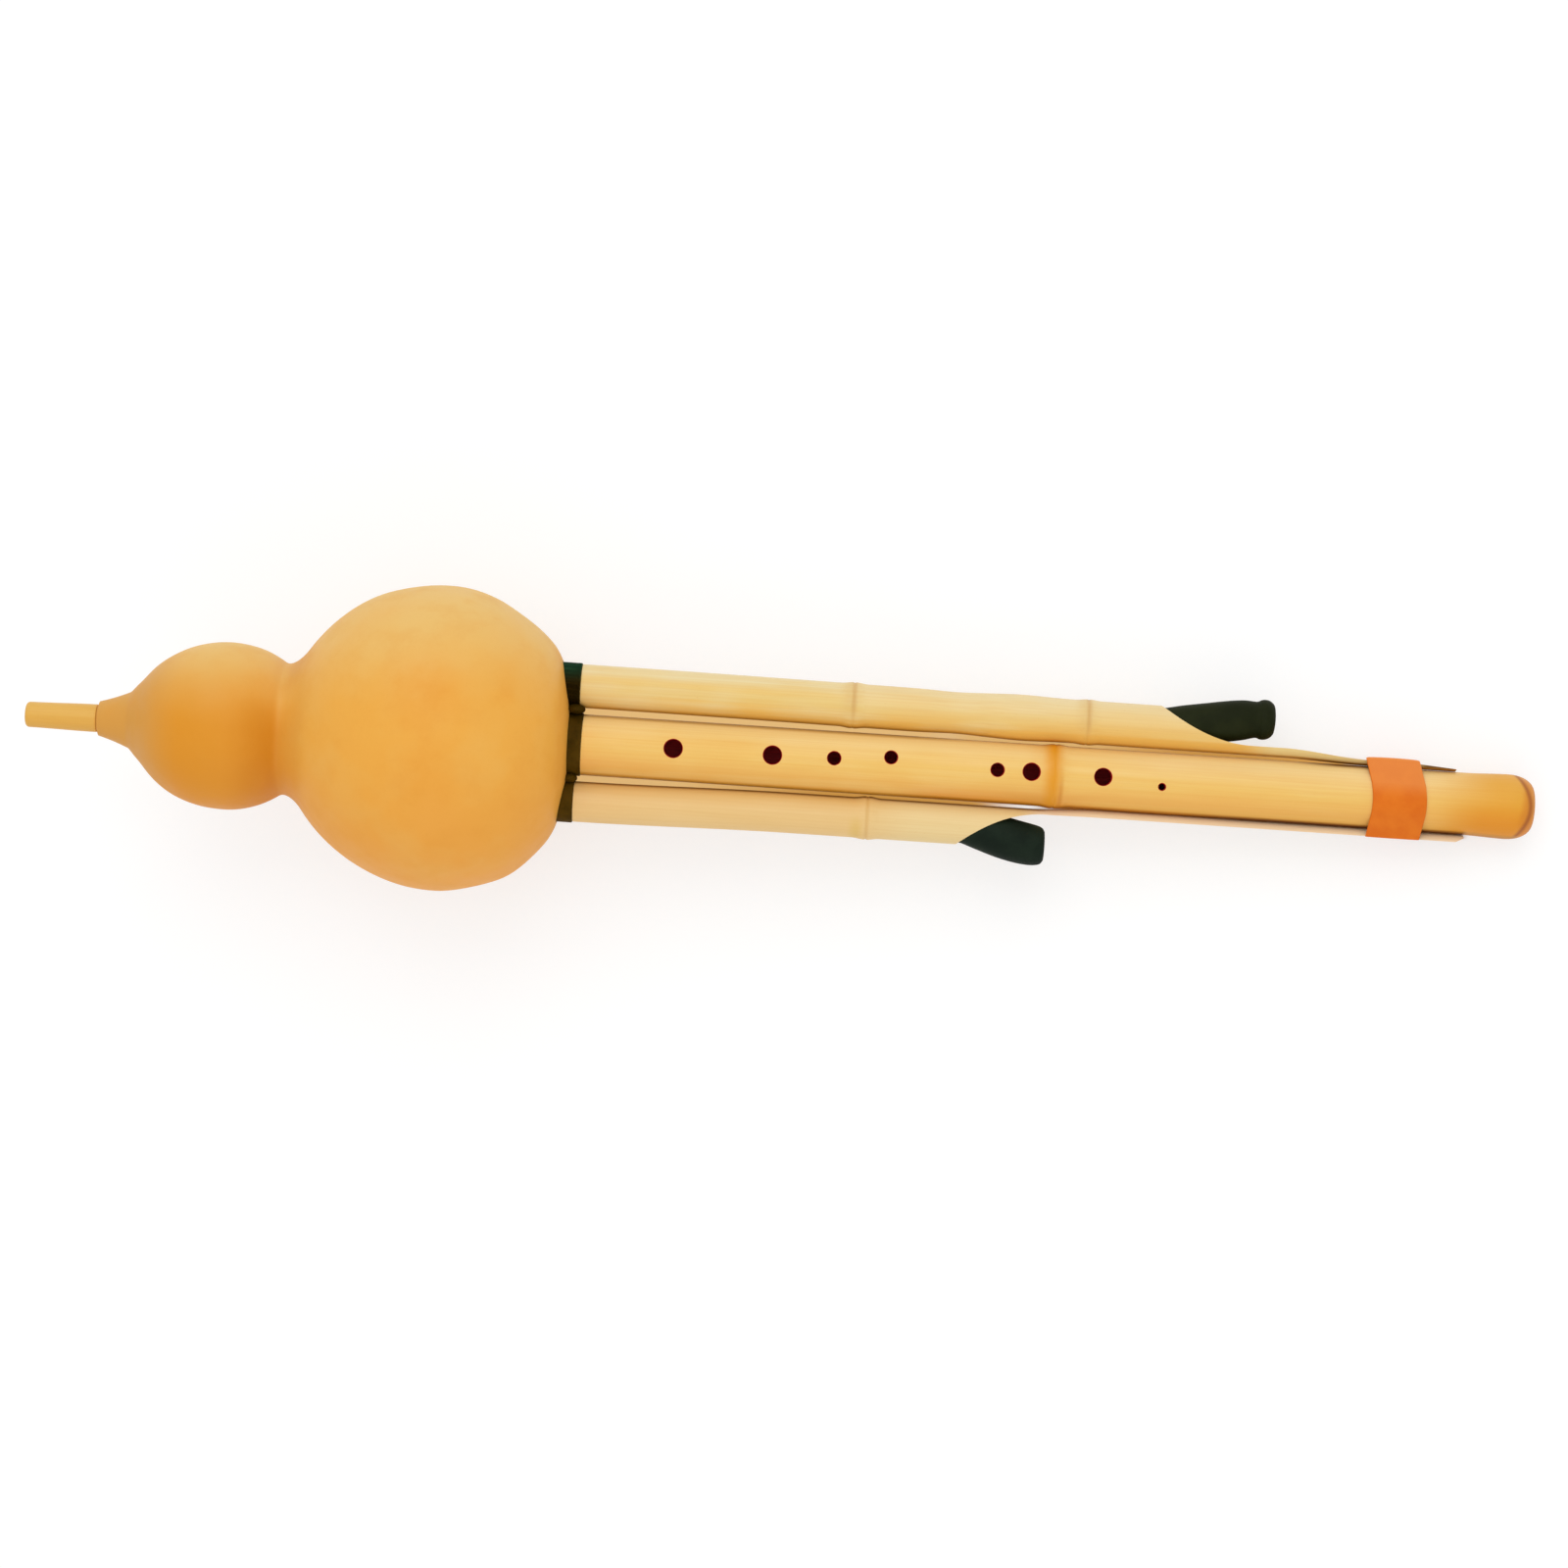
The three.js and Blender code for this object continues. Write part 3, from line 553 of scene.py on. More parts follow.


# Materials

# The sides blend the tones across each pipe: painted light and shade, mostly paler towards +Y.
BAMBOO = Values(
    fibre=grain(0.02, 2.2, detail=5, roughness=0.65), streak=grain(0.006, 0.35, detail=3),
    blotch=grain(0.03, 0.09, detail=2), speck_scale=(0.25, 0.6, 0.6), sides=[(-0.95, 0.1), (0, 1)],
    wander=1.3, zone_blur=4, depth=0.035,
)
GOURD_LOOK = Values(
    mottle=grain(0.035, 0.035, detail=3), cloud=grain(0.11, 0.11, detail=5, roughness=0.6),
    pore=grain(1.3, 1.3, detail=3), pore_share=0.15, depth=0.12,
    spots=[((-42, 12, 42), 20), ((-40, -11, 42), 17)],
    # The tones, paler towards +Y, are painted light and shade.
    tones=[(233, 160, 60), (234, 169, 68), (231, 188, 108)], sides=[(-0.9, 0.15), (0.05, 0.95)],
    spot=(228, 150, 44), haze=(224, 150, 52), dots=(214, 140, 46),
    # The first zone and both marks darken the waist: partly the gourd's own deeper colour, partly painted
    # shade in its crease.
    zones=[
        new_zone(WAIST + 3, WAIST - 10, 0.8, (216, 137, 18), (1.1, -0.1)),
        new_zone(BULB - 10, SHOULDER, 0.8, (212, 154, 72)),
    ],
    marks=[
        new_mark(WAIST - 5, 13, 0.8, (206, 126, 8), (0.5, -0.1)),
        new_mark(WAIST + 1, 7, 0.7, (216, 150, 56), (0.1, 0.7)),
    ],
)
RUBBER = Values(cloud=grain(0.12, 0.12), grain=grain(4, 4, detail=3), spread=0.06, depth=0.03)


def bamboo(name, tones, dark, zones=(), marks=(), edge_shades=()):
    """Bamboo with dark fibres and specks."""
    material, tree, shader = new_material(name)
    fibre = noise_at(tree, BAMBOO.fibre)
    streak = noise_at(tree, BAMBOO.streak)
    blotch = noise_at(tree, BAMBOO.blotch)
    wander = calc(tree, "SUBTRACT", calc(tree, "ADD", streak, blotch), 1)
    wander = calc(tree, "MULTIPLY", wander, BAMBOO.wander)
    station = calc(tree, "ADD", place_of(tree, "X"), calc(tree, "MULTIPLY", blotch, BAMBOO.zone_blur))
    colour = zoned(tree, toned(tree, tones, BAMBOO.sides, wander), station, zones)
    colour = tint(tree, between(tree, fibre, 0.35, 0.75, to_high=0.2), colour, dark)
    colour = marked(tree, colour, marks)
    inputs = {"Vector": stretched(tree, BAMBOO.speck_scale), "Scale": 1}
    speck = add(tree, "TexVoronoi", inputs).outputs["Distance"]
    colour = tint(tree, between(tree, speck, 0.09, 0.03, to_high=0.25), colour, dark)
    # Painted shade along the flanks, broken up by the streaks.
    for edge in edge_shades:
        share = product(tree, side_share(tree, *edge.sides), along(tree, *edge.start),
                        along(tree, *edge.end), between(tree, streak, 0.2, 0.6, to_low=0.6))
        colour = tint(tree, share, colour, edge.colour)
    fill(tree, shader, {
        "Base Color": colour, "Roughness": between(tree, fibre, 0.3, 0.7, 0.4, 0.52),
        "Specular IOR Level": 0.3, "Coat Weight": 0.06, "Coat Roughness": 0.35,
        "Normal": bump(tree, fibre, BAMBOO.depth),
    })
    return material


def raw_bamboo(name, pale, deep):
    """The cut face of bamboo: dull, with fine fibres."""
    material, tree, shader = new_material(name)
    fibre = noise_at(tree, grain(0.03, 1.6))
    colour = tint(tree, between(tree, fibre, 0.3, 0.7), pale, deep)
    fill(tree, shader, {"Base Color": colour, "Roughness": 0.7, "Normal": bump(tree, fibre, 0.03)})
    return material


def gourd_skin(name):
    look = GOURD_LOOK
    material, tree, shader = new_material(name)
    mottle, cloud, pore = (noise_at(tree, kind) for kind in (look.mottle, look.cloud, look.pore))
    colour = toned(tree, look.tones, look.sides, calc(tree, "SUBTRACT", mottle, 0.5))
    colour = marked(tree, zoned(tree, colour, place_of(tree, "X"), look.zones), look.marks)
    spots = calc(tree, "MAXIMUM", *[patch_mask(tree, middle, reach) for middle, reach in look.spots])
    colour = tint(tree, product(tree, spots, cloud, 0.7), colour, look.spot)
    colour = tint(tree, between(tree, cloud, 0.45, 0.75, to_high=0.2), colour, look.haze)
    colour = tint(tree, between(tree, pore, 0.55, 0.8, to_high=0.12), colour, look.dots)
    height = calc(tree, "ADD", cloud, calc(tree, "MULTIPLY", pore, look.pore_share))
    fill(tree, shader, {
        "Base Color": colour, "Roughness": between(tree, cloud, 0.3, 0.7, 0.42, 0.54),
        "Specular IOR Level": 0.2, "Coat Weight": 0.03, "Coat Roughness": 0.4,
        "Normal": bump(tree, height, look.depth),
    })
    return material


def rubber(name, light, dark, roughness, specular, painted_lit_side=None):
    """Rubber with soft clouds of a darker colour. A colour for the +Y side, if given, is painted light
    there.
    """
    material, tree, shader = new_material(name)
    cloud = noise_at(tree, RUBBER.cloud)
    specks = noise_at(tree, RUBBER.grain)
    colour = tint(tree, between(tree, cloud, 0.35, 0.65), light, dark)
    if painted_lit_side:
        colour = tint(tree, side_share(tree, 0, 0.9), colour, painted_lit_side)
    smooth, rough = roughness - RUBBER.spread, roughness + RUBBER.spread
    fill(tree, shader, {
        "Base Color": colour, "Roughness": between(tree, specks, 0.3, 0.7, smooth, rough),
        "Specular IOR Level": specular, "Normal": bump(tree, specks, RUBBER.depth),
    })
    return material


def burnt_bamboo(name):
    material, tree, shader = new_material(name)
    soot = noise_at(tree, grain(0.8, 0.8))
    colour = tint(tree, between(tree, soot, 0.35, 0.65), (180, 22, 30), (146, 12, 20))
    fill(tree, shader, {"Base Color": colour, "Roughness": 0.8, "Specular IOR Level": 0.1})
    return material


def reed_brass(name):
    material, tree, shader = new_material(name)
    brushed = noise_at(tree, grain(0.1, 3))
    colour = tint(tree, between(tree, brushed, 0.3, 0.7), (214, 178, 96), (190, 148, 66))
    roughness = between(tree, brushed, 0.3, 0.7, 0.22, 0.38)
    fill(tree, shader, {"Base Color": colour, "Roughness": roughness, "Metallic": 1})
    return material


MAIN_NODE = MAIN.nodes[0].station
LONG_NODES = [node.station for node in LONG.nodes]
SHORT_NODE = SHORT.nodes[0].station

GOURD_SKIN = gourd_skin("gourd_skin")
MAIN_BAMBOO = bamboo(
    "main_bamboo", tones=[(234, 176, 84), (236, 192, 102), (241, 204, 132)], dark=(222, 150, 56),
    marks=[
        # Painted shade: the soft darkening before the node.
        new_mark(MAIN_NODE - 2, 8, 0.3, (226, 158, 62)),
        new_mark(MAIN_NODE - 0.8, 3.8, 0.95, (224, 147, 8)),
        new_mark(MAIN_NODE + 1.6, 1.1, 0.55, (204, 124, 24), DOWN_SIDE),
        new_mark(268.2, 1.3, 0.8, (156, 78, 8), bow=0.045),
    ],
    zones=[
        new_zone(88, 106, 0.5, (228, 142, 44), (-0.45, -0.85)),
        new_zone(134, 150, 1, (234, 180, 88), (-0.45, -0.85)),
        # Painted light: the +Y side paler from station 140 on.
        new_zone(140, 170, 0.5, (242, 212, 150), (-0.1, 0.8)),
        new_zone(238, 262, 0.85, (225, 158, 32)),
        new_zone(240, 258, 0.9, (223, 138, 4), DOWN_SIDE),
        new_zone(266.5, 269, 0.7, (208, 122, 20)),
    ],
    # Painted shade: dark lines along the flanks, where the pipe turns away beside the drones and their
    # tails.
    edge_shades=[
        new_edge_shade(DOWN_FLANK, (206, 148, 36)),
        new_edge_shade(DOWN_FLANK, (186, 116, 12), start=(80, 105)),
        new_edge_shade(DOWN_FLANK, (96, 42, 2), start=(160, 200), end=(252, 250)),
        new_edge_shade(UP_FLANK, (186, 142, 66), end=(120, 90)),
        new_edge_shade(UP_FLANK, (120, 70, 14), start=(200, 216), end=(224, 222)),
    ],
)
LONG_BAMBOO = bamboo(
    "long_drone_bamboo", tones=[(234, 182, 86), (230, 196, 116), (234, 217, 168)], dark=(214, 154, 74),
    # The wide marks are painted shade before each node; the thin ones are lines at the nodes.
    marks=[new_mark(station - 1, 4, 0.4, (216, 176, 104), (-0.9, 0)) for station in LONG_NODES]
    + [new_mark(station, 1.2, 0.45, (196, 142, 72), (-0.95, 0)) for station in LONG_NODES],
    zones=[
        new_zone(72, 84, 0.45, (236, 208, 152), (-0.6, 0.4)),
        new_zone(188, 198, 0.9, (234, 214, 152)),
        # Painted shade: the tail's end, which lies in shadow, darkened to brown.
        new_zone(238, 241, 0.9, (96, 56, 16)),
    ],
    # Painted shade along the -Y flank, beside the main pipe.
    edge_shades=[new_edge_shade(DOWN_FLANK, (196, 142, 44)), new_edge_shade(DOWN_FLANK, (176, 116, 28), start=(196, 210))],
)
SHORT_BAMBOO = bamboo(
    "short_drone_bamboo", tones=[(232, 194, 130), (230, 192, 128), (226, 184, 114)], dark=(214, 166, 92),
    marks=[
        new_mark(SHORT_NODE - 3, 3, 0.6, (220, 180, 90), DOWN_SIDE),
        new_mark(SHORT_NODE, 1, 0.4, (206, 158, 82)),
    ],
    # The second zone is painted light on the tail's face beside the main pipe, which lies in shade.
    zones=[new_zone(78, 100, 0.7, (233, 209, 152)), new_zone(126, 134, 0.95, (244, 220, 186))],
    # Painted shade along the +Y flank, beside the main pipe.
    edge_shades=[new_edge_shade(UP_FLANK, (150, 102, 36), end=(134, 130))],
)
MOUTH_BAMBOO = bamboo(
    "mouthpiece_bamboo", tones=[(222, 165, 66), (224, 172, 76), (226, 178, 86)], dark=(210, 142, 54),
)
RAW_BAMBOO = raw_bamboo("raw_bamboo", (234, 200, 140), (222, 178, 112))
BORE_BAMBOO = raw_bamboo("bore_bamboo", (212, 34, 42), (190, 22, 34))
BURNT_BAMBOO = burnt_bamboo("burnt_bamboo")
COLLAR_RUBBER = rubber("collar_rubber", (78, 56, 8), (56, 40, 3), 0.5, 0.02)
# The long collar's green on its +Y side is a painted highlight.
LONG_COLLAR_RUBBER = rubber("long_collar_rubber", (58, 44, 4), (44, 32, 2), 0.5, 0.02, (30, 70, 46))
LONG_RUBBER = rubber("long_plug_rubber", (33, 37, 15), (26, 30, 11), 0.55, 0.06)
SHORT_RUBBER = rubber("short_plug_rubber", (26, 37, 27), (19, 29, 21), 0.55, 0.06)
# The band's lighter +Y side is painted light.
BAND_RUBBER = rubber("band_rubber", (226, 118, 24), (218, 106, 16), 0.55, 0.15, (236, 146, 74))
REED_BRASS = reed_brass("reed_brass")


# Pieces

def on_gourd_axis(point):
    return Matrix.Rotation(GOURD.lean, 3, "Z") @ point + Vector((0, GOURD.axis_offset, 0))


def gourd_place(x, radius, angle):
    """Puts a point of the gourd's outline on its leaning axis, with the skin's slight unevenness."""
    outward = straight(0, 1, angle)
    point = straight(x, radius, angle)
    away = min(smoothstep(x, *UNEVENNESS.near_base), smoothstep(x, *UNEVENNESS.near_neck))
    away *= smoothstep(radius, *UNEVENNESS.near_axis)
    uneven = sum(height * noise.noise(point * pace) for height, pace in UNEVENNESS.waves)
    aside = sum(sway.rise * bell(x, sway.station, sway.width) for sway in UNEVENNESS.sways)
    return on_gourd_axis(point + (outward * uneven + Vector((0, aside, 0))) * away)


def make_gourd():
    spigot = MOUTHPIECE.spigot_radius + FIT
    spigot_end = NECK + MOUTHPIECE.spigot_length + FIT
    edge = GOURD.neck_edge
    outline = gourd_outline(GOURD.wall, STEPS.inner_lobe)[::-1]
    outline += [(spigot_end, spigot), (NECK, spigot)]
    outline += corner(NECK + edge, GOURD.neck_radius - edge, edge, math.pi, math.pi / 2)
    outline += [(x, gourd_radius(x, 0)) for x in steps(NECK + 2 * edge, SHOULDER, STEPS.neck)[:-1]]
    outline += gourd_outline(0, STEPS.lobe)
    shell = revolved("gourd", outline, FACETS.gourd, GOURD_SKIN, gourd_place)
    for pipe in (MAIN, LONG, SHORT):
        cut(shell, rod(BELLY, OVERRUN, sleeve_radius(pipe) + FIT, GOURD_SKIN, collar_axis(pipe)))
    finished(shell, "gourd_shell", "gourd_chamber")


def make_mouthpiece():
    shape = MOUTHPIECE
    tip = NECK - shape.length
    shoulder = NECK - SKIN_GAP
    spigot_end = NECK + shape.spigot_length
    bore_edge, rounding, root_edge = shape.bore_edge, shape.tip_round, shape.root_edge
    outline = [(spigot_end, shape.bore_radius)]
    outline += corner(tip + bore_edge, shape.bore_radius + bore_edge, bore_edge, -math.pi / 2, -math.pi)
    outline += corner(tip + rounding, shape.tip_radius - rounding, rounding, math.pi, math.pi / 2)
    outline += [(x, lerp(shape.tip_radius, shape.root_radius, smoothstep(x, tip, shoulder)))
                for x in steps(tip + rounding, shoulder - root_edge, STEPS.mouthpiece)[1:]]
    outline += corner(shoulder - root_edge, shape.root_radius - root_edge, root_edge, math.pi / 2, 0)
    outline += [(shoulder, shape.spigot_radius), (spigot_end, shape.spigot_radius)]
    tube = revolved("mouthpiece", outline, FACETS.pipe, MOUTH_BAMBOO,
                    lambda x, radius, angle: on_gourd_axis(straight(x, radius, angle)), loop=True)
    finished(tube, "mouthpiece_bamboo", "mouthpiece_tube")


def tenon_radius(pipe):
    return pipe.radius - COLLAR.tenon_step


def sleeve_radius(pipe):
    return tenon_radius(pipe) + FIT + COLLAR.wall


def collar_axis(pipe):
    side = -1 if pipe is SHORT else 1
    return shifted(lambda x: side * pipe.place)


def wax_bead(drone):
    """The bead of dark wax in the valley between a drone's collar and the main one."""
    bm = bmesh.new()
    bmesh.ops.create_uvsphere(bm, u_segments=FACETS.bead, v_segments=FACETS.bead // 2, radius=1)
    middle, swell = drone.bead.middle, drone.bead.reach
    for vert in bm.verts:
        vert.co = Vector([lerp(middle[i], middle[i] + swell[i], vert.co[i]) for i in range(3)])
    bead = new_object("bead", bm, COLLAR_RUBBER)
    reach = 2 * COLLAR.depth
    beside_drone = drone.radius + SKIN_GAP
    cut(bead, rod(-reach, reach, MAIN.radius + COLLAR.lip + SKIN_GAP, COLLAR_RUBBER))
    return cut(bead, rod(drone.collar_face, reach, beside_drone, COLLAR_RUBBER, collar_axis(drone)))


def make_collar(pipe, material, name, node):
    face = pipe.collar_face
    inner = face - COLLAR.depth
    lip = pipe.radius + COLLAR.lip
    edge = COLLAR.edge
    bore = tenon_radius(pipe) + SKIN_GAP
    axis = collar_axis(pipe)
    rounded = corner(face - edge, lip - edge, edge, math.pi / 2, 0)
    outline = [(inner, 0), (inner, lip), *rounded, (face, 0)]
    collar = revolved(name, outline, FACETS.pipe, material, axis)
    if pipe.bead:
        combine(collar, wax_bead(pipe), "UNION")
    round_outline = [(SHOULDER, 0), *gourd_outline(-SKIN_GAP, STEPS.lobe)]
    cut(collar, revolved("gourd_round", round_outline, FACETS.pipe, material, gourd_place))
    combine(collar, rod(inner, face - edge, sleeve_radius(pipe), material, axis), "UNION")
    cut(collar, rod(inner - OVERRUN, face + OVERRUN, bore, material, axis))
    finished(collar, name, node)


def pipe_radius(pipe, x):
    end = pipe.length if pipe is MAIN else pipe.tail_end
    return lerp(pipe.radius, pipe.far_radius, x / end)


def node_rise(pipe, x):
    """How far the nodes and swellings of a pipe stand proud at x."""
    rise = sum(swell.rise * bell(x, swell.station, swell.width) for swell in pipe.swells)
    for node in pipe.nodes:
        share = (x - node.station) / node.half_length
        if abs(share) < 1:
            groove = NODE_GROOVE.depth_share * bell(share, 0, NODE_GROOVE.width_share)
            rise += node.rise * (math.cos(math.pi * share / 2) ** 2 - groove)
    return rise


def bamboo_outline(pipe, end):
    """The outside of a pipe from its closed inner end to x = end."""
    start = pipe.collar_face + SKIN_GAP
    radius = tenon_radius(pipe)
    inner_end = -pipe.inside_length
    edge = COLLAR.edge
    stations = steps(start + edge, end, STEPS.pipe)
    for node in pipe.nodes:
        stations = [x for x in stations if abs(x - node.station) > node.half_length]
        stations += steps(node.station - node.half_length, node.station + node.half_length, STEPS.node)
    rounded = corner(inner_end + edge, radius - edge, edge, math.pi, math.pi / 2)
    outline = [(inner_end, 0), *rounded, (start, radius)]
    outline += corner(start + edge, pipe_radius(pipe, start) - edge, edge, math.pi, math.pi / 2)[:-1]
    return outline + [(x, pipe_radius(pipe, x) + node_rise(pipe, x)) for x in sorted(stations)]


def reed_seat(pipe, reed):
    """The flat and window that a reed covers, as cutters on the +Y side of a pipe along X."""
    flat = tenon_radius(pipe) - reed.flat_depth
    start = -pipe.inside_length + pipe.septum + reed.end_margin
    half = reed.tongue_root / 2 + WINDOW_MARGIN
    window_start = start + (reed.length - reed.tongue_length) / 2
    window_end = window_start + reed.tongue_length + WINDOW_MARGIN
    reach = pipe.radius + OVERRUN
    return [
        block((start - FIT, flat, -reach), (start + reed.length + FIT, reach, reach), RAW_BAMBOO),
        block((window_start, 0, -half), (window_end, reach, half), BURNT_BAMBOO),
    ]


def hole_drill(hole, side):
    """A drill that follows the pipe's round, so that the hole's lip is rounded evenly.

    Its profile gives its radius at each depth below the pipe's surface.
    """
    lip = DRILL.lip
    profile = [(hole.radius + lip + OVERRUN, -OVERRUN)]
    profile += [(hole.radius + lip * (1 - math.sin(a)), lip * (1 - math.cos(a)))
                for a in steps(0, math.pi / 2, STEPS.lip)]
    profile += [(hole.radius, MAIN.radius - OVERRUN)]
    rings = [[Vector((hole.station, hole.aside, side * (MAIN.radius + 2 * OVERRUN)))]]
    for radius, depth in profile:
        ring = []
        for i in range(FACETS.hole):
            angle = 2 * math.pi * i / FACETS.hole
            x = hole.station + radius * math.sin(angle)
            y = hole.aside + radius * math.cos(angle)
            surface = math.sqrt(max(pipe_radius(MAIN, hole.station) ** 2 - y * y, 0))
            ring.append(Vector((x, y, side * max(surface - depth, DRILL.least_height))))
        rings.append(ring)
    rings.append([Vector((hole.station, hole.aside, 0))])
    return joined_rings("drill", rings, BURNT_BAMBOO)


def make_main_pipe():
    pipe = MAIN
    rounding = [(pipe.flare_station + (pipe.length - pipe.flare_station) * math.sin(a),
                 pipe.end_radius + (pipe.flare_radius - pipe.end_radius) * math.cos(a))
                for a in steps(0, math.pi / 2, STEPS.end)]
    flare_start = pipe.flare_station - pipe.flare_length
    flare_end = pipe.flare_station
    flare = [(x, lerp(pipe_radius(pipe, x), pipe.flare_radius, smoothstep(x, flare_start, flare_end)))
             for x in steps(flare_start, flare_end, STEPS.flare)[1:-1]]
    outline = bamboo_outline(pipe, flare_start) + flare + rounding + [(pipe.length, 0)]
    body = revolved("main", outline, FACETS.pipe, MAIN_BAMBOO)
    bore_start, bore_end = pipe.septum - pipe.inside_length, pipe.length - pipe.septum
    cut(body, rod(bore_start, bore_end, pipe.bore_radius, BORE_BAMBOO))
    cut(body, *[moved(cutter, QUARTER_TURN) for cutter in reed_seat(pipe, MAIN_REED)])
    cut(body, *[hole_drill(hole, 1) for hole in HOLES], hole_drill(THUMB_HOLE, -1))
    finished(body, "main_pipe_bamboo", "main_pipe")


def drone_offset(drone, x):
    """How far a drone's axis lies from the main pipe's axis at x."""
    body = lerp(drone.place, drone.body_offset, smoothstep(x, 0, drone.settle_length))
    tail = pipe_radius(MAIN, x) + SKIN_GAP + pipe_radius(drone, x)
    start = drone.tail_bend_station
    return lerp(body, tail, smoothstep(x, start, start + drone.tail_bend_length))


def drone_axis(drone):
    return shifted(lambda x: drone_offset(drone, x))


def tail_thickness(drone, x):
    """How thick the strip of a drone's tail is at x. It thins as it leans in to the main pipe."""
    start = drone.tail_bend_station
    share = smoothstep(x, start, start + drone.tail_bend_length)
    return lerp(drone.strip_thickness, drone.tail_thickness, share)


def scarf_opening(drone, lift, material):
    """What the slanting cut takes off a drone. The lift raises the cut."""
    wall = lift - pipe_radius(drone, drone.tail_end)
    strip = drone.strip_thickness + wall
    taper_from, tip = drone.tail_taper_station, drone.tail_end
    crest = drone.far_radius + lift
    start = drone.scarf_station + lift
    end = start + drone.scarf_length
    edge = [(start + drone.scarf_length * share, strip + (crest - strip) * (1 - share) ** 2)
            for share in steps(0, 1, STEPS.scarf)]
    edge += [(x, tail_thickness(drone, x) + wall) for x in steps(end, taper_from, STEPS.tail)[1:]]
    edge += [(x, drone.tail_end_thickness + wall) for x in (tip, tip + OVERRUN)]
    outline = [(x, y + drone_offset(drone, x)) for x, y in edge]
    top = 2 * drone.place
    outline += [(tip + OVERRUN, top), (start, top)]
    return extruded(outline, 2 * (drone.far_radius + OVERRUN), material)


def make_drone(drone, material, name, node):
    axis = drone_axis(drone)
    outline = bamboo_outline(drone, drone.tail_end) + [(drone.tail_end, 0)]
    body = revolved(name, outline, FACETS.pipe, material, axis)
    bore_start = drone.septum - drone.inside_length
    stations = steps(0, drone.tail_end, STEPS.pipe)
    cut(body, rod(bore_start, drone.tail_end + OVERRUN, drone.bore_radius, RAW_BAMBOO, axis, stations))
    cut(body, scarf_opening(drone, 0, RAW_BAMBOO))
    to_drone = Matrix.Translation((0, drone.place * MM, 0))
    cut(body, *[moved(cutter, to_drone) for cutter in reed_seat(drone, DRONE_REED)])
    if drone is SHORT:
        moved(body, HALF_TURN)
    finished(body, name, node)


def rounded_shares(shares, count):
    """A smooth curve through the shares of a head's outline, with count steps from each to the next."""
    points = [Vector(p) for p in shares]
    points = [points[0] * 2 - points[1], *points, points[-1] * 2 - points[-2]]
    curve = []
    for a, b, c, d in zip(points, points[1:], points[2:], points[3:]):
        for t in steps(0, 1, count)[:-1]:
            curve.append(0.5 * (2 * b + (c - a) * t + (2 * a - 5 * b + 4 * c - d) * t ** 2
                                + (3 * b - a - 3 * c + d) * t ** 3))
    return curve + [points[-2]]


def make_plug(drone, plug, material, name, node, body):
    """A stopper: a straight stem, and a head that leans away and is notched to sit on the slanting cut."""
    start = drone.scarf_station
    lean_from = start - plug.lean_start
    lean_to = start + plug.head_length
    stem_radius = drone.bore_radius - SKIN_GAP
    stem_start = start - plug.stem_length
    place = drone_offset(drone, start)
    leaning = shifted(lambda x: place + plug.lean * smoothstep(x, lean_from, lean_to))
    outline = [(lean_from, 0), (lean_from, stem_radius)]
    outline += [(start + plug.head_length * forward, plug.head_radius * out)
                for forward, out in rounded_shares(plug.head_shares, STEPS.head)]
    head = revolved(name, outline + [(lean_to, 0)], FACETS.pipe, material, leaning)
    kept = rod(stem_start - OVERRUN, drone.tail_end, drone.far_radius + FIT, material, drone_axis(drone),
               steps(0, drone.tail_end, STEPS.pipe))
    cut(head, cut(kept, scarf_opening(drone, SKIN_GAP, material)))
    edge = plug.stem_edge
    stem_end = start + plug.head_length / 2
    rounded = corner(stem_start + edge, stem_radius - edge, edge, math.pi, math.pi / 2)
    stem_outline = [(stem_start, 0), *rounded, (stem_end, stem_radius), (stem_end, 0)]
    stem = revolved("stem", stem_outline, FACETS.pipe, material, shifted(lambda x: place))
    combine(head, stem, "UNION")
    if drone is SHORT:
        moved(head, HALF_TURN)
    finished(head, name, node, body)


def band_ring(x, distance):
    """The band's section at x: it wraps the main pipe and the edges of both tails at a distance.

    The section is bowed toward the far end, skewed, and leans that way on the underside.
    """
    middle = BAND.station + BAND.width / 2
    rim_height = 0
    discs = [(0, 0, pipe_radius(MAIN, middle) + distance)]
    for drone in (LONG, SHORT):
        radius = pipe_radius(drone, middle)
        thickness = tail_thickness(drone, middle)
        rim = drone.side * (drone_offset(drone, middle) - radius + thickness)
        half_chord = math.sqrt(radius ** 2 - (radius - thickness) ** 2)
        lift = distance * drone.band_share
        discs += [(rim, half_chord, lift), (rim, -half_chord, lift)]
        rim_height = max(rim_height, half_chord)
    ring = []
    for i in range(FACETS.band):
        angle = 2 * math.pi * i / FACETS.band
        y, z = math.cos(angle), math.sin(angle)
        disc = max(discs, key=lambda d: d[0] * y + d[1] * z + d[2])
        place = disc[0] + disc[2] * y
        height = disc[1] + disc[2] * z
        aside = place / BAND.reach
        bowed = x + BAND.lead - BAND.skew * aside - BAND.bow * aside ** 2
        leaning = BAND.lean * max(rim_height - height, 0)
        ring.append(Vector((bowed + leaning, place, height)))
    return ring


def make_band():
    start, end, edge = BAND.station, BAND.station + BAND.width, BAND.edge
    outer = FIT + BAND.thickness
    section = corner(start + edge, outer - edge, edge, math.pi, math.pi / 2)
    section += [(x, outer + BAND.swell * math.sin(math.pi * (x - start) / BAND.width) ** 0.5)
                for x in steps(start + 2 * edge, end - 2 * edge, STEPS.swell)]
    section += corner(end - edge, outer - edge, edge, math.pi / 2, 0)
    section += [(end, FIT / 2), (start, FIT / 2)]
    rings = [band_ring(x, distance) for x, distance in section]
    band = joined_rings("band", rings, BAND_RUBBER, loop=True)
    finished(band, "elastic_band", "binding_band")


